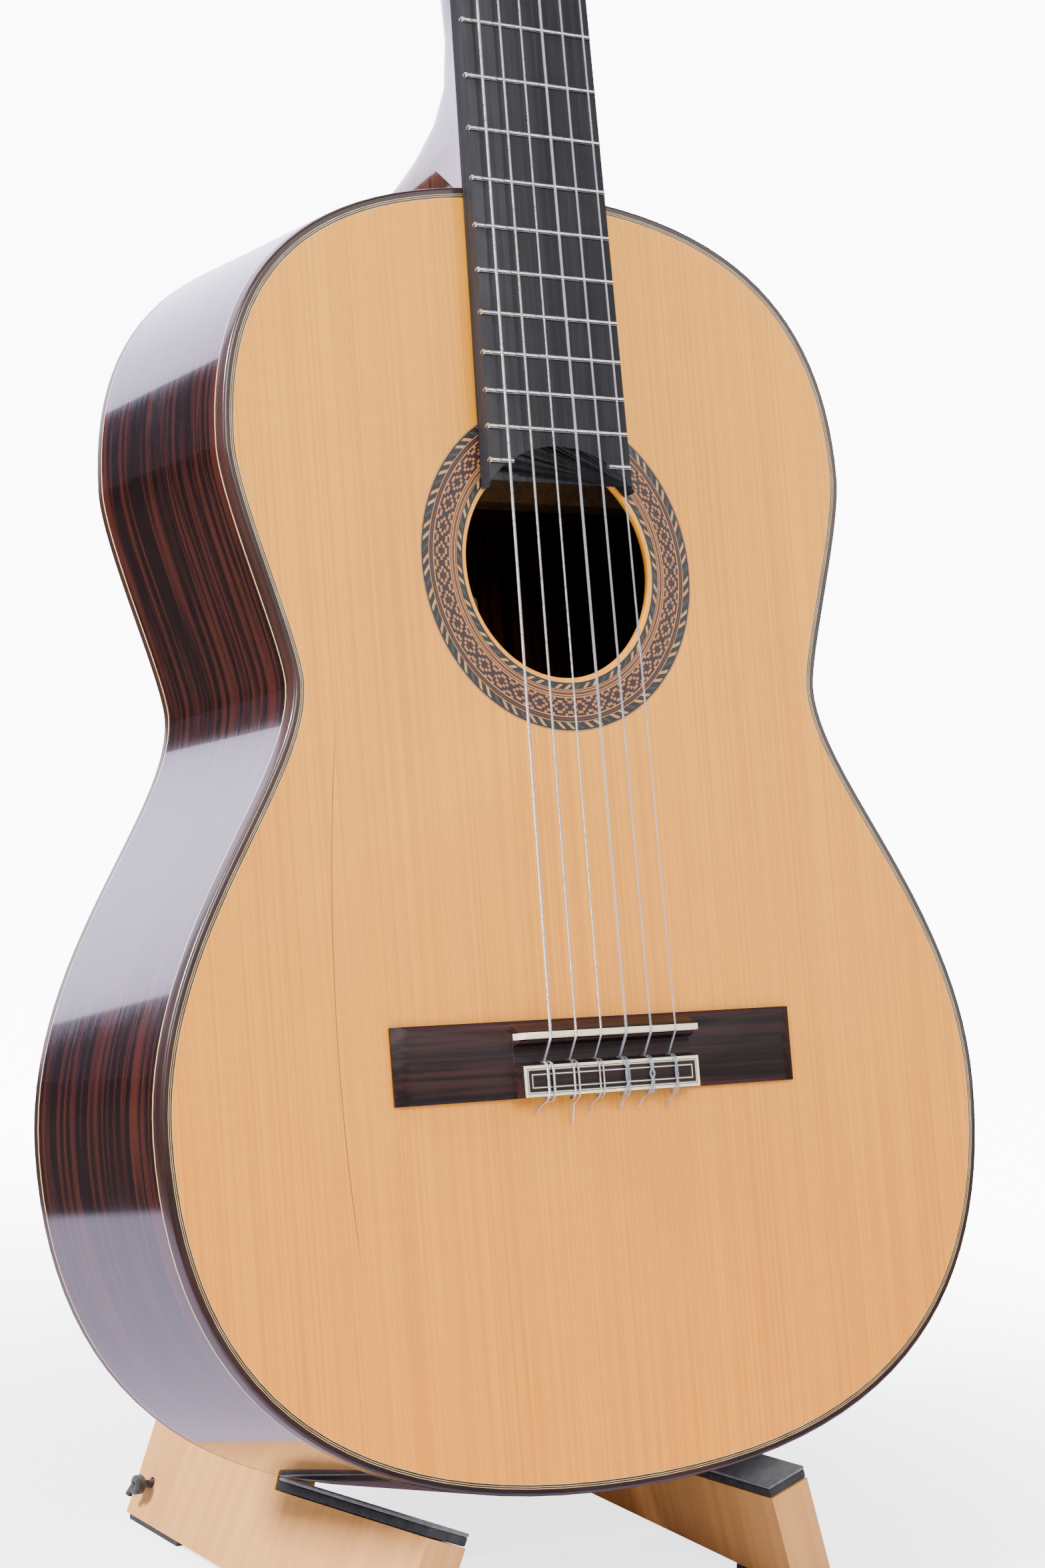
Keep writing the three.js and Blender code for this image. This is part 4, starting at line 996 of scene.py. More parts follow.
def outline_gap(place):
    """Distance in x and z from a place to the nearest point of the outline."""
    if not OUTLINE_POINTS:
        probe = outline_face("outline_probe")
        OUTLINE_POINTS.extend((vert.co.x, vert.co.z) for vert in probe.data.vertices)
        remove(probe)
    return min(math.hypot(place.x - x, place.z - z) for x, z in OUTLINE_POINTS)


def round_binding(piece, face_y):
    start_edit(piece, "EDGE")
    pick(piece, "edges", lambda edge: outer_corner(edge, face_y, 0.0002))
    bpy.ops.mesh.bevel(offset=sizes().binding_round, segments=4, affect="EDGES", clamp_overlap=False)
    end_edit()
    smooth(piece, 50)


class GUITAR_OT_edges(bpy.types.Operator):
    """Bindings round the top and the back, and the inlaid lines beside them"""

    bl_idname = "guitar.edges"
    bl_label = "Bindings and lines"

    def execute(self, context):
        own = sizes()
        outline_gap(Vector())
        front = outline_ring("front_binding_strip", 0, [(own.binding_width, 0)], 0, own.front_binding_height)
        round_binding(front, 0)
        paint(front, finish("Binding rosewood"))
        settle(front, GUITAR, "guitar", "binding", "front_binding")
        back_start = RIM_DEPTH - own.back_binding_height
        back = outline_ring("back_binding_strip", 0, [(own.binding_width, 0)], back_start, RIM_DEPTH)
        round_binding(back, RIM_DEPTH)
        paint(back, finish("Binding rosewood"))
        settle(back, GUITAR, "guitar", "binding", "back_binding")
        lines = [(0.00025, 0), (0.00045, 1), (0.00025, 0), (0.00050, 1), (0.00025, 0)]
        for name, y0, y1 in (("top_lines", 0.0, 0.0015), ("back_lines", RIM_DEPTH - 0.0015, RIM_DEPTH)):
            ring = outline_ring(name, own.binding_width, lines, y0, y1)
            paint(ring, finish("Pale line"), finish("Dark line"))
            smooth(ring, 30)
            settle(ring, GUITAR, "guitar", "binding")
        side_start = own.front_binding_height
        side_end = back_start - own.side_line
        for name, y0 in (("front_side_line", side_start), ("back_side_line", side_end)):
            ring = outline_ring(name, 0, [(0.0015, 0)], y0, y0 + own.side_line)
            paint(ring, finish("Pale line"))
            smooth(ring, 30)
            settle(ring, GUITAR, "guitar", "binding")
        return {"FINISHED"}


LINES_WIDTH = 0.0017


class GUITAR_OT_soundboard(bpy.types.Operator):
    """Spruce soundboard with its hole, and the rosette round it"""

    bl_idname = "guitar.soundboard"
    bl_label = "Soundboard and rosette"

    def execute(self, context):
        thickness = 0.0026
        top = outline_face("spruce_soundboard")
        start_edit(top)
        inset_picked(sizes().binding_width + LINES_WIDTH)
        mesh = bmesh.from_edit_mesh(top.data)
        for face in mesh.faces:
            face.select_set(not face.select)
        bmesh.update_edit_mesh(top.data)
        bpy.ops.mesh.delete(type="FACE")
        bpy.ops.mesh.select_all(action="SELECT")
        bpy.ops.mesh.extrude_region_move(TRANSFORM_OT_translate={"value": (0, thickness, 0)})
        bpy.ops.mesh.select_all(action="SELECT")
        bpy.ops.mesh.normals_make_consistent(inside=False)
        end_edit()
        carve(top, hole_cutter(HOLE_RADIUS, 0.02))
        start_edit(top, "EDGE")

        def at_hole(edge):
            spot = middle(edge)
            flat = abs(edge.verts[0].co.y - edge.verts[1].co.y) < 0.00001
            return flat and abs(math.hypot(spot.x, spot.z - HOLE_Z) - HOLE_RADIUS) < 0.0003

        pick(top, "edges", at_hole)
        bpy.ops.mesh.bevel(offset=0.0007, segments=3, affect="EDGES", clamp_overlap=False)
        end_edit()
        smooth(top, 35)
        paint(top, finish("Lacquered spruce"))
        settle(top, GUITAR, "guitar", "spruce_top", "soundboard")

        outer, inner = 0.0630, 0.0442
        ring = add_primitive(
            "circle", "rosette_inlay", vertices=192, radius=outer, fill_type="NGON",
            location=(0, -0.00003, HOLE_Z), rotation=(math.pi / 2, 0, 0),
        )
        freeze(ring)
        start_edit(ring)
        inset_picked(outer - inner)
        bpy.ops.mesh.delete(type="ONLY_FACE")
        bpy.ops.mesh.select_all(action="SELECT")
        bpy.ops.mesh.extrude_region_move(TRANSFORM_OT_translate={"value": (0, 0.0012, 0)})
        bpy.ops.mesh.select_all(action="SELECT")
        bpy.ops.mesh.normals_make_consistent(inside=False)
        end_edit()
        smooth(ring, 30)
        paint(ring, finish("Rosette mosaic"))
        settle(ring, GUITAR, "guitar", "rosette_mosaic", "rosette")
        return {"FINISHED"}


def hole_cutter(radius, half_depth):
    cutter = add_primitive(
        "cylinder", "hole_cutter", vertices=160, radius=radius, depth=2 * half_depth,
        location=(0, 0, HOLE_Z), rotation=(math.pi / 2, 0, 0),
    )
    freeze(cutter)
    return cutter


class GUITAR_OT_sides(bpy.types.Operator):
    """The two bent rosewood sides"""

    bl_idname = "guitar.sides"
    bl_label = "Sides"

    def execute(self, context):
        own = sizes()
        y0 = own.front_binding_height + own.side_line
        y1 = RIM_DEPTH - own.back_binding_height - own.side_line
        rim = outline_ring("bass_side_wood", 0, [(own.side_thickness, 0)], y0, y1)
        core = 0.0143
        carve(rim, add_block("neck_core", (-core, -0.01, 0), (core, 0.11, 0.4)))
        carve(rim, add_block("tail_joint", (-0.00005, -0.01, -0.2), (0.00005, 0.11, 0)))
        start_edit(rim)
        bpy.ops.mesh.separate(type="LOOSE")
        end_edit()
        halves = [piece for piece in bpy.context.selected_objects if piece.type == "MESH"]
        if len(halves) != 2:
            raise RuntimeError(f"the rim came apart into {len(halves)} pieces, not 2")
        for piece in halves:
            bass = sum(vert.co.x for vert in piece.data.vertices) < 0
            # Node bass_side is the half on the side of the low strings
            label = "bass" if bass else "treble"
            piece.name = f"{label}_side_wood"
            smooth(piece, 40)
            paint(piece, finish("Side rosewood"))
            settle(piece, GUITAR, "guitar", "rosewood", f"{label}_side")
        return {"FINISHED"}


class GUITAR_OT_back(bpy.types.Operator):
    """Arched rosewood back, and the label inside"""

    bl_idname = "guitar.back"
    bl_label = "Back and label"

    def execute(self, context):
        thickness = 0.0024
        plate = outline_face("arched_back")
        start_edit(plate)
        inset_picked(sizes().binding_width + LINES_WIDTH)
        mesh = bmesh.from_edit_mesh(plate.data)
        for face in mesh.faces:
            face.select_set(not face.select)
        bmesh.update_edit_mesh(plate.data)
        bpy.ops.mesh.delete(type="FACE")
        spacing = 0.012
        for step in range(-15, 16):
            bpy.ops.mesh.select_all(action="SELECT")
            bpy.ops.mesh.bisect(plane_co=(step * spacing, 0, 0), plane_no=(1, 0, 0))
        for step in range(-14, 28):
            bpy.ops.mesh.select_all(action="SELECT")
            bpy.ops.mesh.bisect(plane_co=(0, 0, step * spacing), plane_no=(0, 0, 1))
        mesh = bmesh.from_edit_mesh(plate.data)
        for vert in mesh.verts:
            spine = Vector((0, 0, min(0.2177, max(-0.028, vert.co.z))))
            reach = math.hypot(vert.co.x, vert.co.z - spine.z)
            gap = max(0.0, outline_gap(vert.co) - 0.0043)
            share = gap / (gap + reach) if gap + reach > 0 else 1
            vert.co.y = RIM_DEPTH - thickness + sizes().back_arch * (1 - (1 - share) ** 2)
        bmesh.update_edit_mesh(plate.data)
        bpy.ops.mesh.select_all(action="SELECT")
        bpy.ops.mesh.extrude_region_move(TRANSFORM_OT_translate={"value": (0, thickness, 0)})
        bpy.ops.mesh.select_all(action="SELECT")
        bpy.ops.mesh.normals_make_consistent(inside=False)
        end_edit()
        smooth(plate, 35)
        paint(plate, finish("Back rosewood"))
        settle(plate, GUITAR, "guitar", "rosewood", "back_plate")
        half_x, half_z = LABEL_HALF
        inside = RIM_DEPTH - LABEL_SUNK
        label = add_block(
            "label", (LABEL_X - half_x, inside, LABEL_Z - half_z),
            (LABEL_X + half_x, inside + LABEL_THICK, LABEL_Z + half_z)
        )
        start_edit(label, "EDGE")
        pick(label, "edges", lambda edge: abs(edge.verts[0].co.y - edge.verts[1].co.y) > 0.0001)
        bpy.ops.mesh.bevel(offset=0.002, segments=3, affect="EDGES")
        end_edit()
        paint(label, finish("Label paper"))
        settle(label, GUITAR, "guitar", "inner_wood")
        return {"FINISHED"}


# ------------------------------------------------------------------ neck, fingerboard and frets
def board_half(z):
    """Half-width of the fingerboard at a height above the saddle."""
    share = (NUT_LINE - z) / (NUT_LINE - BODY_JOINT)
    return (BOARD_NUT_WIDTH + (BOARD_BODY_WIDTH - BOARD_NUT_WIDTH) * share) / 2


def fret_place(number):
    return SCALE_LENGTH * 2 ** (-number / 12) - SADDLE_SETBACK


FRETS = 19
MOUTH_RADIUS = HOLE_RADIUS + 0.0013


class GUITAR_OT_neck(bpy.types.Operator):
    """Neck with its heel, heel cap, headstock, fingerboard and nut"""

    bl_idname = "guitar.neck"
    bl_label = "Neck and fingerboard"

    def execute(self, context):
        neck = polished("neck", "neck_shaft", 0, GUITAR, smoothness=52)
        paint(neck, finish("Neck wood"))
        settle(neck, GUITAR, "guitar", "neck_wood", "neck")
        cap = polished("heel_cap", "heel_cap_wood", 0.0008, GUITAR)
        paint(cap, finish("Back rosewood"))
        settle(cap, GUITAR, "guitar", "rosewood", "heel_cap")
        self.make_headstock()
        self.make_board()
        self.make_nut()
        return {"FINISHED"}

    def make_headstock(self):
        head = polished("headstock", "headstock_wood", 0.0009, HEAD, allow=lambda spot: spot.z > 0.004)
        paint(head, finish("Head wood"), finish("Head veneer"))
        paint_faces(head, 1, lambda spot: spot.y < 0.0004 and spot.z > 0.004)
        settle(head, HEAD, "guitar", "neck_wood", "headstock")

    def make_board(self):
        low = HOLE_Z + BOARD_END_ABOVE_HOLE
        board = add_primitive("plane", "ebony_board", size=1, rotation=(math.pi / 2, 0, 0))
        freeze(board)
        start_edit(board, "VERT")
        mesh = bmesh.from_edit_mesh(board.data)
        for vert in mesh.verts:
            z = NUT_LINE if vert.co.z > 0 else low
            vert.co = Vector((math.copysign(board_half(z), vert.co.x), BOARD_FACE, z))
        bmesh.update_edit_mesh(board.data)
        bpy.ops.mesh.extrude_region_move(TRANSFORM_OT_translate={"value": (0, BOARD_BACK - BOARD_FACE, 0)})
        bpy.ops.mesh.select_all(action="SELECT")
        bpy.ops.mesh.normals_make_consistent(inside=False)
        end_edit()
        carve(board, hole_cutter(MOUTH_RADIUS, 0.02))
        start_edit(board, "EDGE")

        def face_edge(edge):
            return all(abs(vert.co.y - BOARD_FACE) < 0.00001 for vert in edge.verts) and edge.calc_face_angle(0) > 0.5

        def mouth_edge(edge):
            spot = middle(edge)
            return face_edge(edge) and abs(math.hypot(spot.x, spot.z - HOLE_Z) - MOUTH_RADIUS) < 0.0004

        pick(board, "edges", mouth_edge)
        bpy.ops.mesh.bevel(offset=MOUTH_BEVEL, segments=3, affect="EDGES", clamp_overlap=False)
        pick(board, "edges", lambda edge: face_edge(edge) and abs(middle(edge).x) > 0.022)
        bpy.ops.mesh.bevel(offset=BOARD_EDGE_BEVEL, segments=2, affect="EDGES", clamp_overlap=True)
        end_edit()
        smooth(board, 40)
        paint(board, finish("Ebony"))
        settle(board, GUITAR, "guitar", "ebony", "fingerboard")

    def make_nut(self):
        half = BOARD_NUT_WIDTH / 2
        nut = add_block(
            "bone_nut", (-half, NUT_TOP - 0.0007, NUT_LINE + 0.0002), (half, BOARD_BACK, NUT_LINE + 0.0054)
        )
        start_edit(nut, "EDGE")
        pick(nut, "edges", lambda edge: middle(edge).y < NUT_TOP)
        bpy.ops.mesh.bevel(offset=0.0008, segments=3, affect="EDGES")
        end_edit()
        for index, radius in enumerate(STRING_RADII):
            groove = add_primitive(
                "cylinder", "groove", vertices=16, radius=radius + 0.00006, depth=0.02,
                location=(string_x(index, NUT_SPREAD), NUT_TOP - radius, NUT_LINE),
            )
            freeze(groove)
            carve(nut, groove)
            slot = add_block(
                "groove_slot",
                (string_x(index, NUT_SPREAD) - radius - 0.00006, NUT_TOP - 0.004, NUT_LINE - 0.01),
                (string_x(index, NUT_SPREAD) + radius + 0.00006, NUT_TOP - radius, NUT_LINE + 0.01),
            )
            carve(nut, slot)
        smooth(nut, 30)
        paint(nut, finish("Bone"))
        settle(nut, GUITAR, "guitar", "bone", "nut")


class GUITAR_OT_frets(bpy.types.Operator):
    """Nineteen frets; the last is parted by the end of the fingerboard"""

    bl_idname = "guitar.frets"
    bl_label = "Frets"

    def execute(self, context):
        width, height = sizes().fret_width, sizes().fret_height
        model = add_block("fret_model", (-0.5, -height, -width / 2), (0.5, 0.0012, width / 2))
        start_edit(model, "EDGE")
        pick(model, "edges", lambda edge: middle(edge).y < -0.9 * height and abs(middle(edge).x) < 0.1)
        bpy.ops.mesh.bevel(offset=height * 0.92, segments=5, affect="EDGES", clamp_overlap=False)
        mesh = bmesh.from_edit_mesh(model.data)
        for vert in mesh.verts:
            # Below the crown only a narrow tang goes into the board
            if vert.co.y > 0.0001:
                vert.co.z *= 0.28
        bmesh.update_edit_mesh(model.data)
        end_edit()
        for number in range(1, FRETS + 1):
            z = fret_place(number)
            reach = board_half(z) + 0.00005
            gap = math.sqrt(max(0.0, MOUTH_RADIUS**2 - (z - HOLE_Z) ** 2))
            if gap > 0:
                gap += 0.0012
                self.place(model, f"fret_{number}_bass", -reach, -gap, z)
                self.place(model, f"fret_{number}_treble", gap, reach, z)
            else:
                self.place(model, f"fret_{number}", -reach, reach, z)
        remove(model)
        return {"FINISHED"}

    def place(self, model, name, start, end, z):
        fret = copy_piece(model, name)
        slope = 0.0007
        for vert in fret.data.vertices:
            left = vert.co.x < 0
            lifted = max(0.0, -vert.co.y / sizes().fret_height)
            vert.co.x = start + slope * lifted if left else end - slope * lifted
            vert.co.y += BOARD_FACE
            vert.co.z += z
        smooth(fret, 40)
        paint(fret, finish("Fret silver"))
        settle(fret, GUITAR, "guitar", "brass")


# ------------------------------------------------------------------ bridge and strings
def string_x(index, spread):
    return (index / (len(STRING_RADII) - 1) - 0.5) * spread


class GUITAR_OT_bridge(bpy.types.Operator):
    """Rosewood bridge with its bone saddle and the bordered tie block"""

    bl_idname = "guitar.bridge"
    bl_label = "Bridge and saddle"

    def execute(self, context):
        bridge = polished(
            "bridge", "bridge_wood", 0.0006, GUITAR, segments=2, sharpness=25,
            allow=lambda spot: spot.y < -0.0006 and not (
                abs(spot.y - STRING_HOLE) < 0.0012 and abs(spot.x) < 0.032
            ),
        )
        paint(bridge, finish("Bridge rosewood"))
        settle(bridge, GUITAR, "guitar", "bridge_wood", "bridge")
        saddle = add_block("bone_saddle", (-0.04045, SADDLE_TOP, -0.0012), (0.04045, -0.0033, 0.0012))
        start_edit(saddle, "EDGE")
        pick(saddle, "edges", lambda edge: middle(edge).y < SADDLE_TOP + 0.0001)
        bpy.ops.mesh.bevel(offset=0.0009, segments=4, affect="EDGES")
        end_edit()
        smooth(saddle, 40)
        paint(saddle, finish("Bone"))
        settle(saddle, GUITAR, "guitar", "bone", "saddle")
        half, low, high = 0.0403, BRIDGE_BACK + 0.0001, BLOCK_FRONT - 0.0001
        border = add_block(
            "tie_block_border", (-half, BLOCK_TOP - 0.0003, low), (half, BLOCK_TOP + 0.0001, high)
        )
        for _ in range(3):
            border.data.materials.append(None)
        start_edit(border)
        pick(border, "faces", lambda face: face.normal.y < -0.9)
        bands = [
            (0.0011, 0), (0.0003, 1), (0.0003, 0), (0.0003, 1), (0.0009, 2), (0.0003, 1), (0.0003, 0),
            (0.0003, 1)
        ]
        for width, number in [*bands, (0, 2)]:
            mesh = bmesh.from_edit_mesh(border.data)
            for face in mesh.faces:
                if face.select:
                    face.material_index = number
            bmesh.update_edit_mesh(border.data)
            if width:
                inset_picked(width)
        end_edit()
        paint(border, finish("Bone"), finish("Dark line"), finish("Bridge rosewood"))
        settle(border, GUITAR, "guitar", "bone")
        return {"FINISHED"}


def rounded_route(points, radius, steps=5):
    """The route with each corner turned on a short curve."""
    route = [points[0]]
    for before, corner, after in zip(points, points[1:], points[2:]):
        reach = min(radius, 0.48 * (corner - before).length, 0.48 * (after - corner).length)
        start = corner + (before - corner).normalized() * reach
        end = corner + (after - corner).normalized() * reach
        for step in range(steps + 1):
            share = step / steps
            route.append(start * (1 - share) ** 2 + corner * 2 * share * (1 - share) + end * share**2)
    route.append(points[-1])
    return route


def round_tube(name, route, radius, ring=3):
    """A closed round tube along a route, as a mesh."""
    bpy.ops.object.select_all(action="DESELECT")
    bpy.ops.curve.primitive_nurbs_path_add()
    tube = bpy.context.active_object
    tube.name = name
    tube.data.splines.clear()
    spline = tube.data.splines.new("POLY")
    spline.points.add(len(route) - 1)
    for knot, spot in zip(spline.points, route):
        knot.co = (*spot, 1)
    tube.data.dimensions = "3D"
    tube.data.bevel_depth = radius
    tube.data.bevel_resolution = ring
    tube.data.use_fill_caps = True
    tube.location = (0, 0, 0)
    tube.rotation_euler = (0, 0, 0)
    activate(tube)
    bpy.ops.object.convert(target="MESH")
    tube = bpy.context.active_object
    tube.data.name = name
    start_edit(tube, "VERT")
    bpy.ops.mesh.remove_doubles(threshold=0.0000005)
    bpy.ops.mesh.normals_make_consistent(inside=False)
    end_edit()
    smooth(tube, 60)
    return tube


def string_tie(index, radius):
    """The route of a string's end: down through the tie block, back over it, under itself and back."""
    x = string_x(index, SADDLE_SPREAD)
    wound = index < 3
    top = BLOCK_TOP - 0.0004 - radius
    aside = 2.2 * radius if wound else 1.7 * radius
    if index % 2:
        aside = -aside
    tail = 0.0075 if index == 1 else 0.0028 + 0.0006 * (index % 3)
    route = [
        (x, STRING_HOLE, BLOCK_FRONT + 0.0004),
        (x, STRING_HOLE, BRIDGE_BACK - 0.0006),
        (x + 0.5 * aside, STRING_HOLE - 0.0008, BRIDGE_BACK - 0.0017),
        (x + aside, top + 0.0014, BRIDGE_BACK - 0.0015),
        (x + aside, top, BRIDGE_BACK + 0.0008),
    ]
    if not wound:
        # The two strands of a plain string turn round each other over the block
        for step in range(1, 8):
            angle = math.pi * 2 * step / 8
            z = BRIDGE_BACK + 0.0008 + (BLOCK_FRONT - BRIDGE_BACK - 0.0016) * step / 8
            route.append((x + aside * math.cos(angle), top - radius + radius * math.cos(2 * angle), z))
    route += [
        (x + aside, top, BLOCK_FRONT - 0.0006),
        (x + aside, top + 0.0016, BLOCK_FRONT + 0.0008),
        (x + 0.7 * aside, STRING_HOLE + 0.0010, BLOCK_FRONT + 0.0012),
        (x - 0.7 * aside, STRING_HOLE + 0.0010, BLOCK_FRONT + 0.0012),
        (x - aside, top + 0.0016, BLOCK_FRONT + 0.0008),
        (x - aside, top, BLOCK_FRONT - 0.0006),
    ]
    if not wound:
        for step in range(1, 8):
            angle = math.pi + math.pi * 2 * step / 8
            z = BLOCK_FRONT - 0.0008 + (BRIDGE_BACK - BLOCK_FRONT + 0.0016) * step / 8
            route.append((x + aside * math.cos(angle), top - radius - radius * math.cos(2 * angle), z))
    route += [
        (x - aside, top, BRIDGE_BACK + 0.0006),
        (x - 1.1 * aside, top + 0.0012, BRIDGE_BACK - 0.0012),
        (x - 1.5 * aside, -0.0042, BRIDGE_BACK - 0.0030),
        (x - 2.0 * aside, -0.0016, BRIDGE_BACK - 0.0030 - tail),
    ]
    return [Vector(spot) for spot in route]


def string_winding(index, radius, place):
    """Four turns round the roller, from the loose end to where the string leaves for the nut."""
    low = index < 3
    side = -1 if low else 1
    step = index if low else 5 - index
    reach = ROLLER_RADIUS + 0.0003 + radius
    z = 0.045 + 0.035 * step
    start_x = side * (0.020 - 0.002 * step)
    pitch = 2 * radius + 0.00018
    turns = 4 if low else 5
    spots = []
    per_turn = 24
    for count in range(turns * per_turn, -1, -1):
        angle = 2 * math.pi * count / per_turn
        x = start_x - side * pitch * count / per_turn
        spots.append(place @ Vector((x, ROLLER_DEPTH - reach * math.cos(angle), z + reach * math.sin(angle))))
    return spots


class GUITAR_OT_strings(bpy.types.Operator):
    """Three wound and three clear strings, from their rollers to their ties"""

    bl_idname = "guitar.strings"
    bl_label = "Strings"

    def execute(self, context):
        on_head = GUITAR.inverted() @ HEAD
        for index, radius in enumerate(STRING_RADII):
            number = 6 - index
            nut_x, saddle_x = string_x(index, NUT_SPREAD), string_x(index, SADDLE_SPREAD)
            run = [
                Vector((nut_x, NUT_TOP - radius + 0.0002, NUT_LINE + 0.0056)),
                Vector((nut_x, NUT_TOP - radius, NUT_LINE + 0.0045)),
                Vector((nut_x, NUT_TOP - radius, NUT_LINE)),
                Vector((saddle_x, SADDLE_TOP - radius, 0.0008)),
                Vector((saddle_x, SADDLE_TOP - radius, -0.0008)),
            ]
            route = string_winding(index, radius, on_head)
            route += rounded_route([route[-1], *run, *string_tie(index, radius)], 0.0012)[1:]
            string = round_tube(f"string_{number}_tied", route, radius)
            wound = index < 3
            paint(string, finish("Wound silver" if wound else "Clear nylon"))
            settle(string, GUITAR, "guitar", "wound_metal" if wound else "clear_nylon", f"string_{number}")
        return {"FINISHED"}


# ------------------------------------------------------------------ tuning machines
class GUITAR_OT_tuners(bpy.types.Operator):
    """Tuning machines: plates, rollers with gears, worm shafts and pearl buttons"""

    bl_idname = "guitar.tuners"
    bl_label = "Tuning machines"

    def execute(self, context):
        for label in ("bass", "treble"):
            plate = polished(f"tuner_plate_{label}", f"tuner_plate_{label}_brass", 0.0003, HEAD)
            paint(plate, finish("Brass"))
            settle(plate, HEAD, "guitar", "brass", f"tuner_plate_{label}")
            self.add_screws(label)
        for number in range(1, 7):
            roller = polished(
                f"tuner_roller_{number}", f"roller_{number}_barrel", 0.0002, HEAD, smoothness=40
            )
            paint(roller, finish("Roller white"), finish("Brass"))
            paint_faces(roller, 1, lambda spot: abs(spot.x) > 0.0265)
            settle(roller, HEAD, f"roller_{number}", "roller_white", f"tuner_roller_{number}")
            knob = self.make_knob(number)
            settle(knob, HEAD, f"knob_{number}", "pearloid_button", f"tuner_knob_{number}")
        return {"FINISHED"}

    def add_screws(self, label):
        side = -1 if label == "bass" else 1
        face = 0.0357
        screws = []
        for z in (0.0345, 0.0672, 0.1028, 0.1352):
            head = add_primitive(
                "uv_sphere", "screw_head", segments=20, ring_count=10, radius=0.0021,
                location=(side * face, 0.0153, z),
            )
            head.scale = (0.45, 1, 1)
            freeze(head)
            slot = add_block(
                "screw_slot", (side * (face + 0.0014) - 0.0009, 0.0130, z - 0.00025),
                (side * (face + 0.0014) + 0.0009, 0.0176, z + 0.00025),
            )
            carve(head, slot)
            screws.append(head)
        activate(screws[0])
        for screw in screws:
            screw.select_set(True)
        bpy.ops.object.join()
        screws = bpy.context.active_object
        screws.name = f"tuner_screws_{label}"
        smooth(screws, 40)
        paint(screws, finish("Brass"))
        settle(screws, HEAD, "guitar", "brass")

    def make_knob(self, number):
        side = -1 if number > 3 else 1
        step = 6 - number if number > 3 else number - 1
        x = side * 0.0389
        z = 0.045 + 0.035 * step + 0.0099
        button = add_primitive("cube", f"knob_{number}_button", size=1, location=(x, 0.0345, z))
        button.scale = (0.0092, 0.0190, 0.0160)
        freeze(button)
        start_edit(button, "VERT")
        bpy.ops.mesh.subdivide(number_cuts=3)
        mesh = bmesh.from_edit_mesh(button.data)
        for vert in mesh.verts:
            share = min(1.0, max(0.0, (vert.co.y - 0.0250) / 0.0190))
            wide = 0.52 + 0.56 * math.sin(math.pi * min(1, share * 0.78)) ** 0.8
            thick = 0.72 + 0.28 * math.sin(math.pi * share)
            vert.co.x = x + (vert.co.x - x) * thick * (1 - 0.25 * (abs(vert.co.z - z) / 0.008) ** 2)
            vert.co.z = z + (vert.co.z - z) * wide
        bmesh.update_edit_mesh(button.data)
        end_edit()
        finish_modifier(button, "SUBSURF", levels=2, render_levels=2)
        smooth(button, 60)
        paint(button, finish("Pearl button"), finish("Brass"))
        shaft = add_primitive(
            "cylinder", "worm_shaft", vertices=24, radius=0.0018, depth=0.0290,
            location=(x, 0.0125, z), rotation=(math.pi / 2, 0, 0),
        )
        freeze(shaft)
        start_edit(shaft, "EDGE")
        pick(shaft, "edges", lambda edge: edge.calc_face_angle(0) > 1)
        bpy.ops.mesh.bevel(offset=0.0004, segments=2, affect="EDGES")
        end_edit()
        worm = self.make_worm(x, z)
        collar = add_primitive(
            "cylinder", "button_collar", vertices=32, radius=0.0034, depth=0.0022,
            location=(x, 0.0246, z), rotation=(math.pi / 2, 0, 0),
        )
        freeze(collar)
        start_edit(collar, "EDGE")
        pick(collar, "edges", lambda edge: edge.calc_face_angle(0) > 1)
        bpy.ops.mesh.bevel(offset=0.0005, segments=2, affect="EDGES")
        end_edit()
        for part in (shaft, worm, collar):
            paint(part, finish("Pearl button"), finish("Brass"))
            for face in part.data.polygons:
                face.material_index = 1
        activate(button)
        for part in (shaft, worm, collar):
            part.select_set(True)
        bpy.ops.object.join()
        smooth(button, 45)
        return button

    def make_worm(self, x, z):
        """A threaded worm: a round core with a ridge wound along it."""
        core = add_primitive(
            "cylinder", "worm_core", vertices=24, radius=0.0021, depth=0.0100,
            location=(x, ROLLER_DEPTH, z), rotation=(math.pi / 2, 0, 0),
        )
        freeze(core)
        spots = []
        turns, per_turn = 4, 20
        for count in range(turns * per_turn + 1):
            angle = 2 * math.pi * count / per_turn
            along = -0.0042 + 0.0084 * count / (turns * per_turn)
            spots.append(
                Vector((x + 0.0022 * math.cos(angle), ROLLER_DEPTH + along, z + 0.0022 * math.sin(angle)))
            )
        ridge = round_tube("worm_ridge", spots, 0.00055, 1)
        activate(core)
        ridge.select_set(True)
        bpy.ops.object.join()
        return core


class GUITAR_OT_inside(bpy.types.Operator):
    """Finishes of the braces, linings and blocks inside the body"""

    bl_idname = "guitar.inside"
    bl_label = "Inside of the body"

    def execute(self, context):
        for name, node in NODES.items():
            if "brace" in name or "harmonic_bar" in name:
                # Braces get the spruce finish darkened as painted shade inside the body
                paint_node(node, "Bare spruce")
            elif "lining" in name:
                paint_node(node, "Kerfed lining")
            elif name == "tail_block":
                paint_node(node, "Neck wood")
        return {"FINISHED"}


def paint_node(node, name):
    """Gives a finish to a CAD node, whose mesh stays as it is."""
    for slot in node.material_slots:
        slot.material = finish(name)


# ------------------------------------------------------------------ the stand
SEAT_CORNER = Vector((0, -0.037, -0.20732))
SEAT_NORMAL = Vector((0, 0.11185, 1)).normalized()
SEAT_FOAM = 0.0039
BACK_FACE = Vector((0, 0.111847, 0))
BACK_NORMAL = Vector((0, -1, 0.23429)).normalized()
BACK_FOAM = 0.0026


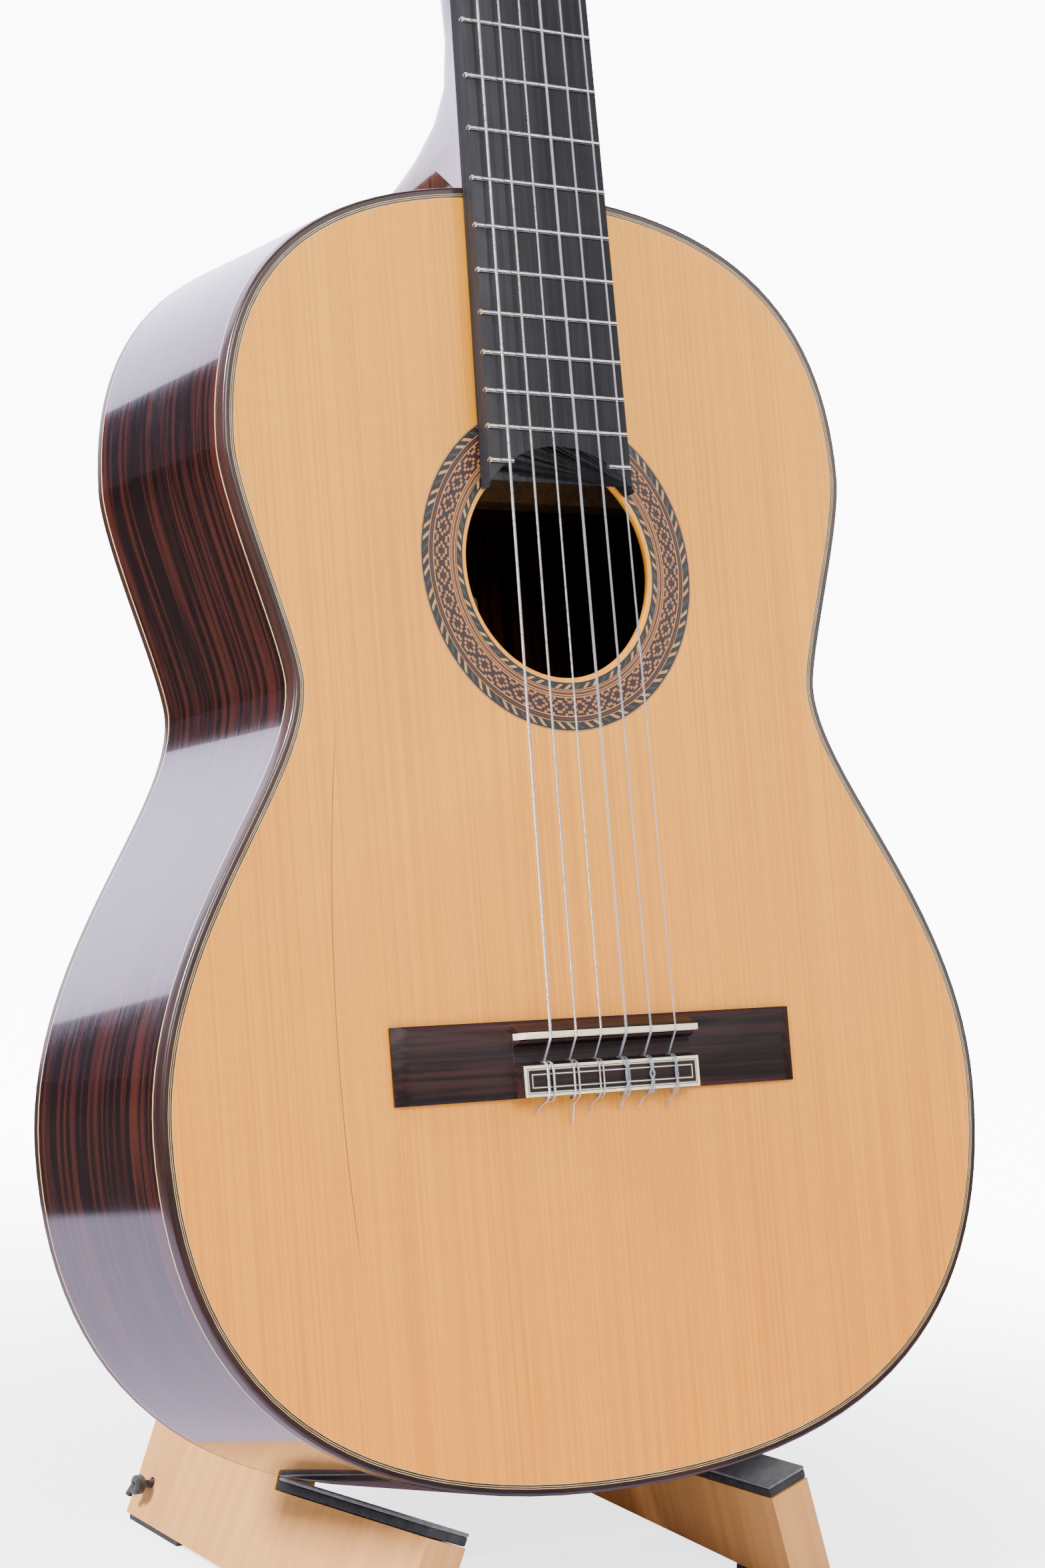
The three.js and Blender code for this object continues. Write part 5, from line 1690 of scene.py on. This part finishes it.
class STAND_OT_legs(bpy.types.Operator):
    """The two crossed wooden legs with eased edges, the pivot and the feet"""

    bl_idname = "stand.legs"
    bl_label = "Legs, pivot and feet"

    def execute(self, context):
        for side, place in LEGS.items():
            leg = polished(
                f"{side}_leg", f"{side}_leg_board", stand_sizes().edge_round, place, segments=3, sharpness=40,
                allow=lambda spot: math.hypot(spot.x, spot.z) > 0.020,
            )
            paint(leg, finish(f"{side.title()} board"))
            settle(leg, place, LEG_BODY[side], "stand_wood", f"{side}_leg")
            for end in ("front", "rear"):
                foot = polished(f"{side}_{end}_foot", f"{side}_{end}_foot_strip", 0.0005)
                paint(foot, finish("Black rubber"))
                settle(foot, Matrix(), LEG_BODY[side], "black_rubber", f"{side}_{end}_foot")
        pin = polished("pivot_pin", "pivot_bolt", 0.0005, sharpness=45)
        paint(pin, finish("Steel"))
        settle(pin, Matrix(), "stand", "steel", "pivot_pin")
        washer = polished("pivot_washer", "pivot_ring", 0.0003, sharpness=45)
        paint(washer, finish("Brass"))
        settle(washer, Matrix(), "stand", "brass", "pivot_washer")
        return {"FINISHED"}


def halve(piece, name, spot, normal):
    """Cuts a piece in two by a plane. The part on the normal's side is a new piece of that name."""
    other = copy_piece(piece, name)
    for part, side in ((piece, "clear_outer"), (other, "clear_inner")):
        start_edit(part, "VERT")
        bpy.ops.mesh.bisect(plane_co=spot, plane_no=normal, use_fill=True, **{side: True})
        bpy.ops.mesh.select_all(action="SELECT")
        bpy.ops.mesh.normals_make_consistent(inside=False)
        end_edit()
    return other


def ease_edges(piece, width, segments, sharpness=40):
    start_edit(piece, "EDGE")
    limit = math.radians(sharpness)
    pick(piece, "edges", lambda edge: len(edge.link_faces) == 2 and edge.calc_face_angle(0) > limit)
    bpy.ops.mesh.bevel(offset=width, segments=segments, affect="EDGES", clamp_overlap=True)
    end_edit()
    smooth(piece, 40)


class STAND_OT_pads(bpy.types.Operator):
    """Foam pads with a felt face, on the seats and the uprights"""

    bl_idname = "stand.pads"
    bl_label = "Pads"

    def execute(self, context):
        for side, place in LEGS.items():
            seat_cut = SEAT_CORNER + Vector((0, 0, SEAT_FOAM))
            back_cut = BACK_FACE + Vector((0, -BACK_FOAM, 0))
            for where, spot, normal in (("seat", seat_cut, SEAT_NORMAL), ("back", back_cut, BACK_NORMAL)):
                foam = polished(f"{side}_{where}_pad", f"{side}_{where}_foam", 0, place)
                felt = halve(foam, f"{side}_{where}_felt", spot, normal)
                ease_edges(foam, 0.0007, 2)
                ease_edges(felt, 0.0004, 2)
                paint(foam, finish("Black foam"))
                paint(felt, finish("Grey felt"))
                settle(foam, place, LEG_BODY[side], "black_foam", f"{side}_{where}_pad")
                settle(felt, place, LEG_BODY[side], "black_foam")
        return {"FINISHED"}


class STAND_OT_cord(bpy.types.Operator):
    """The cord that keeps the legs from spreading, with a knot outside each leg"""

    bl_idname = "stand.cord"
    bl_label = "Spread cord"

    def execute(self, context):
        low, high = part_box("spread_cord")
        middle_y, middle_z = (low.y + high.y) / 2, (low.z + high.z) / 2
        reach = high.x - 0.0050
        steps = 30
        sag = 0.0012
        route = []
        for step in range(steps + 1):
            share = 2 * step / steps - 1
            route.append(Vector((reach * share, middle_y, middle_z - sag * (1 - share * share))))
        cord = round_tube("spread_line", route, stand_sizes().cord_diameter / 2, 3)
        paint(cord, finish("Black cord"))
        knots = [self.make_knot(side, reach, middle_y, middle_z) for side in ("left", "right")]
        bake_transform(cord)
        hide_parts("spread_cord")
        return {"FINISHED"}

    def make_knot(self, side, reach, y, z):
        sign = -1 if side == "left" else 1
        spots = []
        turns, per_turn = 1.9, 18
        count = int(turns * per_turn)
        for step in range(count + 1):
            angle = 2 * math.pi * step / per_turn
            spots.append(
                Vector(
                    (
                        sign * (reach - 0.0012 + 0.0030 * step / count), y + 0.0024 * math.cos(angle),
                        z + 0.0024 * math.sin(angle)
                    )
                )
            )
        spots.append(spots[-1] + Vector((sign * 0.0010, 0.0008, -0.0030)))
        knot = round_tube(f"{side}_cord_knot", spots, stand_sizes().cord_diameter / 2, 3)
        paint(knot, finish("Black cord"))
        settle(knot, Matrix(), LEG_BODY[side], "black_cord")
        return knot


# ------------------------------------------------------------------ stage
class GUITAR_OT_stage(bpy.types.Operator):
    """Camera, soft studio light and a plain pale floor"""

    bl_idname = "guitar.stage"
    bl_label = "Stage and camera"

    def execute(self, context):
        scene = context.scene
        right = Vector((0.8152, -0.5756, 0.0636)).normalized()
        back = Vector((-0.5791, -0.8092, 0.0990)).normalized()
        up = back.cross(right).normalized()
        right = up.cross(back)
        data = bpy.data.cameras.new("camera")
        camera = bpy.data.objects.new("camera", data)
        scene.collection.objects.link(camera)
        turn = Matrix((right, up, back)).transposed()
        camera.matrix_world = Matrix.Translation((-0.7698, -1.1346, 0.4362)) @ turn.to_4x4()
        data.lens = 79.38
        data.sensor_width = 36
        data.clip_start = 0.05
        scene.camera = camera

        floor = add_primitive(
            "circle", "floor", vertices=96, radius=14, fill_type="NGON", location=(0, 0, -0.0002)
        )
        freeze(floor)
        paint(floor, self.make_floor())
        self.make_world(scene)
        # Soft boxes: place, the point they face, width, height and power
        boxes = [
            ((-1.9, 0.15, 1.7), (0, 0, 0.3), 0.5, 0.5, 180),
            ((-0.2, -2.6, 2.2), (0, 0, 0.5), 1.8, 1.4, 98),
            ((1.9, -1.6, 1.5), (0, 0, 0.4), 2.0, 2.0, 28),
        ]
        for number, (place, target, width, height, power) in enumerate(boxes):
            light = bpy.data.lights.new(f"soft_box_{number + 1}", "AREA")
            light.shape = "RECTANGLE"
            light.size = width
            light.size_y = height
            light.energy = power
            lamp = bpy.data.objects.new(light.name, light)
            scene.collection.objects.link(lamp)
            facing = (Vector(target) - Vector(place)).to_track_quat("-Z", "Y")
            lamp.matrix_world = Matrix.Translation(place) @ facing.to_matrix().to_4x4()
        return {"FINISHED"}

    def make_floor(self):
        """White cloth that glows for the camera, dimmer near the guitar as painted shade, yet sends only plain light
        back to the guitar; polished wood sees a painted reflection of it.
        """
        made, tree, shader = start_finish("Pale floor")
        cloud = put(tree, "TexNoise", Vector=place_in(tree), Scale=1.3, Detail=3.0)
        cloth = blend_colours(tree, cloud.outputs["Fac"], (0.86, 0.86, 0.90, 1), (0.84, 0.83, 0.91, 1))
        own = put(tree, "SeparateXYZ", Vector=place_in(tree))
        x, y = own.outputs["X"], own.outputs["Y"]
        reach = calc(
            tree, "SQRT", calc(tree, "ADD", calc(tree, "MULTIPLY", x, x), calc(tree, "MULTIPLY", y, y))
        )
        path = put(tree, "LightPath")
        # Painted reflection: glossy rays see the cloth lavender near the guitar and painted near black beyond
        # MIRRORED_REACH
        unlit = calc(tree, "MULTIPLY", path.outputs["Is Glossy Ray"], between(tree, reach, *MIRRORED_REACH))
        mirrored = blend_colours(tree, path.outputs["Is Glossy Ray"], cloth, (0.44, 0.40, 0.56, 1))
        set_shader(tree, shader, Base_Color=blend_colours(tree, unlit, mirrored, (0.02, 0.015, 0.015, 1)))
        shader.inputs["Roughness"].default_value = 0.9
        shader.inputs["Specular IOR Level"].default_value = 0.2
        shader.inputs["Emission Color"].default_value = (0.96, 0.95, 1.0, 1)
        # Painted shade: the camera glow is weakest near the guitar and grows to full brightness far off
        glow_with_painted_shade = between(tree, reach, *FLOOR_GLOW_SHADE_REACH, *FLOOR_GLOW_SHADED_TO_BRIGHT)
        feed(
            tree, shader.inputs["Emission Strength"],
            calc(tree, "MULTIPLY", path.outputs["Is Camera Ray"], glow_with_painted_shade)
        )
        return made

    def make_world(self, scene):
        """A white backdrop; polished sides mirror only its lit half, behind and to the right."""
        world = bpy.data.worlds.new("studio")
        scene.world = world
        world.use_nodes = True
        tree = world.node_tree
        way = put(tree, "SeparateXYZ", Vector=put(tree, "TexCoord").outputs["Generated"])
        turn = calc(tree, "ARCTAN2", way.outputs["X"], way.outputs["Y"])
        low, high = (math.radians(turned) for turned in LIT_SECTOR)
        lit = in_band(tree, turn, low, high)
        mirrored = calc(tree, "ADD", MIRRORED_UNLIT, calc(tree, "MULTIPLY", lit, MIRRORED_LIT))
        path = put(tree, "LightPath")
        glossy = calc(
            tree, "MULTIPLY", path.outputs["Is Glossy Ray"], calc(tree, "SUBTRACT", mirrored, AMBIENT)
        )
        camera = calc(tree, "MULTIPLY", path.outputs["Is Camera Ray"], BACKDROP_WHITE)
        strength = calc(tree, "ADD", AMBIENT, calc(tree, "ADD", glossy, camera))
        background = tree.nodes["Background"]
        tint = blend_colours(tree, path.outputs["Is Glossy Ray"], (0.93, 0.92, 1.0, 1), (0.80, 0.74, 1.0, 1))
        feed(tree, background.inputs["Color"], tint)
        feed(tree, background.inputs["Strength"], strength)


# ------------------------------------------------------------------ add-on
STEPS = [
    GUITAR_OT_stage,
    STAND_OT_cord,
    GUITAR_OT_edges,
    GUITAR_OT_soundboard,
    GUITAR_OT_sides,
    GUITAR_OT_back,
    GUITAR_OT_inside,
    GUITAR_OT_neck,
    GUITAR_OT_frets,
    GUITAR_OT_bridge,
    GUITAR_OT_strings,
    GUITAR_OT_tuners,
    STAND_OT_legs,
    STAND_OT_pads,
]


class GUITAR_PT_sidebar(bpy.types.Panel):
    """Sizes, colours and steps of the guitar and its stand"""

    bl_idname = "GUITAR_PT_sidebar"
    bl_label = "Guitar on Stand"
    bl_space_type = "VIEW_3D"
    bl_region_type = "UI"
    bl_category = "Guitar"

    def draw(self, context):
        for group in (sizes(), stand_sizes(), colours()):
            box = self.layout.box()
            for key in group.bl_rna.properties.keys():
                if key not in ("rna_type", "name"):
                    box.prop(group, key)
        for step in STEPS:
            self.layout.operator(step.bl_idname)


CLASSES = [GuitarSizes, StandSizes, FinishColours, *STEPS, GUITAR_PT_sidebar]


def register():
    for made in CLASSES:
        bpy.utils.register_class(made)
    bpy.types.Scene.guitar_sizes = bpy.props.PointerProperty(type=GuitarSizes)
    bpy.types.Scene.stand_sizes = bpy.props.PointerProperty(type=StandSizes)
    bpy.types.Scene.finish_colours = bpy.props.PointerProperty(type=FinishColours)


def unregister():
    del bpy.types.Scene.finish_colours
    del bpy.types.Scene.stand_sizes
    del bpy.types.Scene.guitar_sizes
    for made in reversed(CLASSES):
        bpy.utils.unregister_class(made)


def main():
    register()
    for step in STEPS:
        group, name = step.bl_idname.split(".")
        getattr(getattr(bpy.ops, group), name)()


if __name__ == "__main__":
    main()
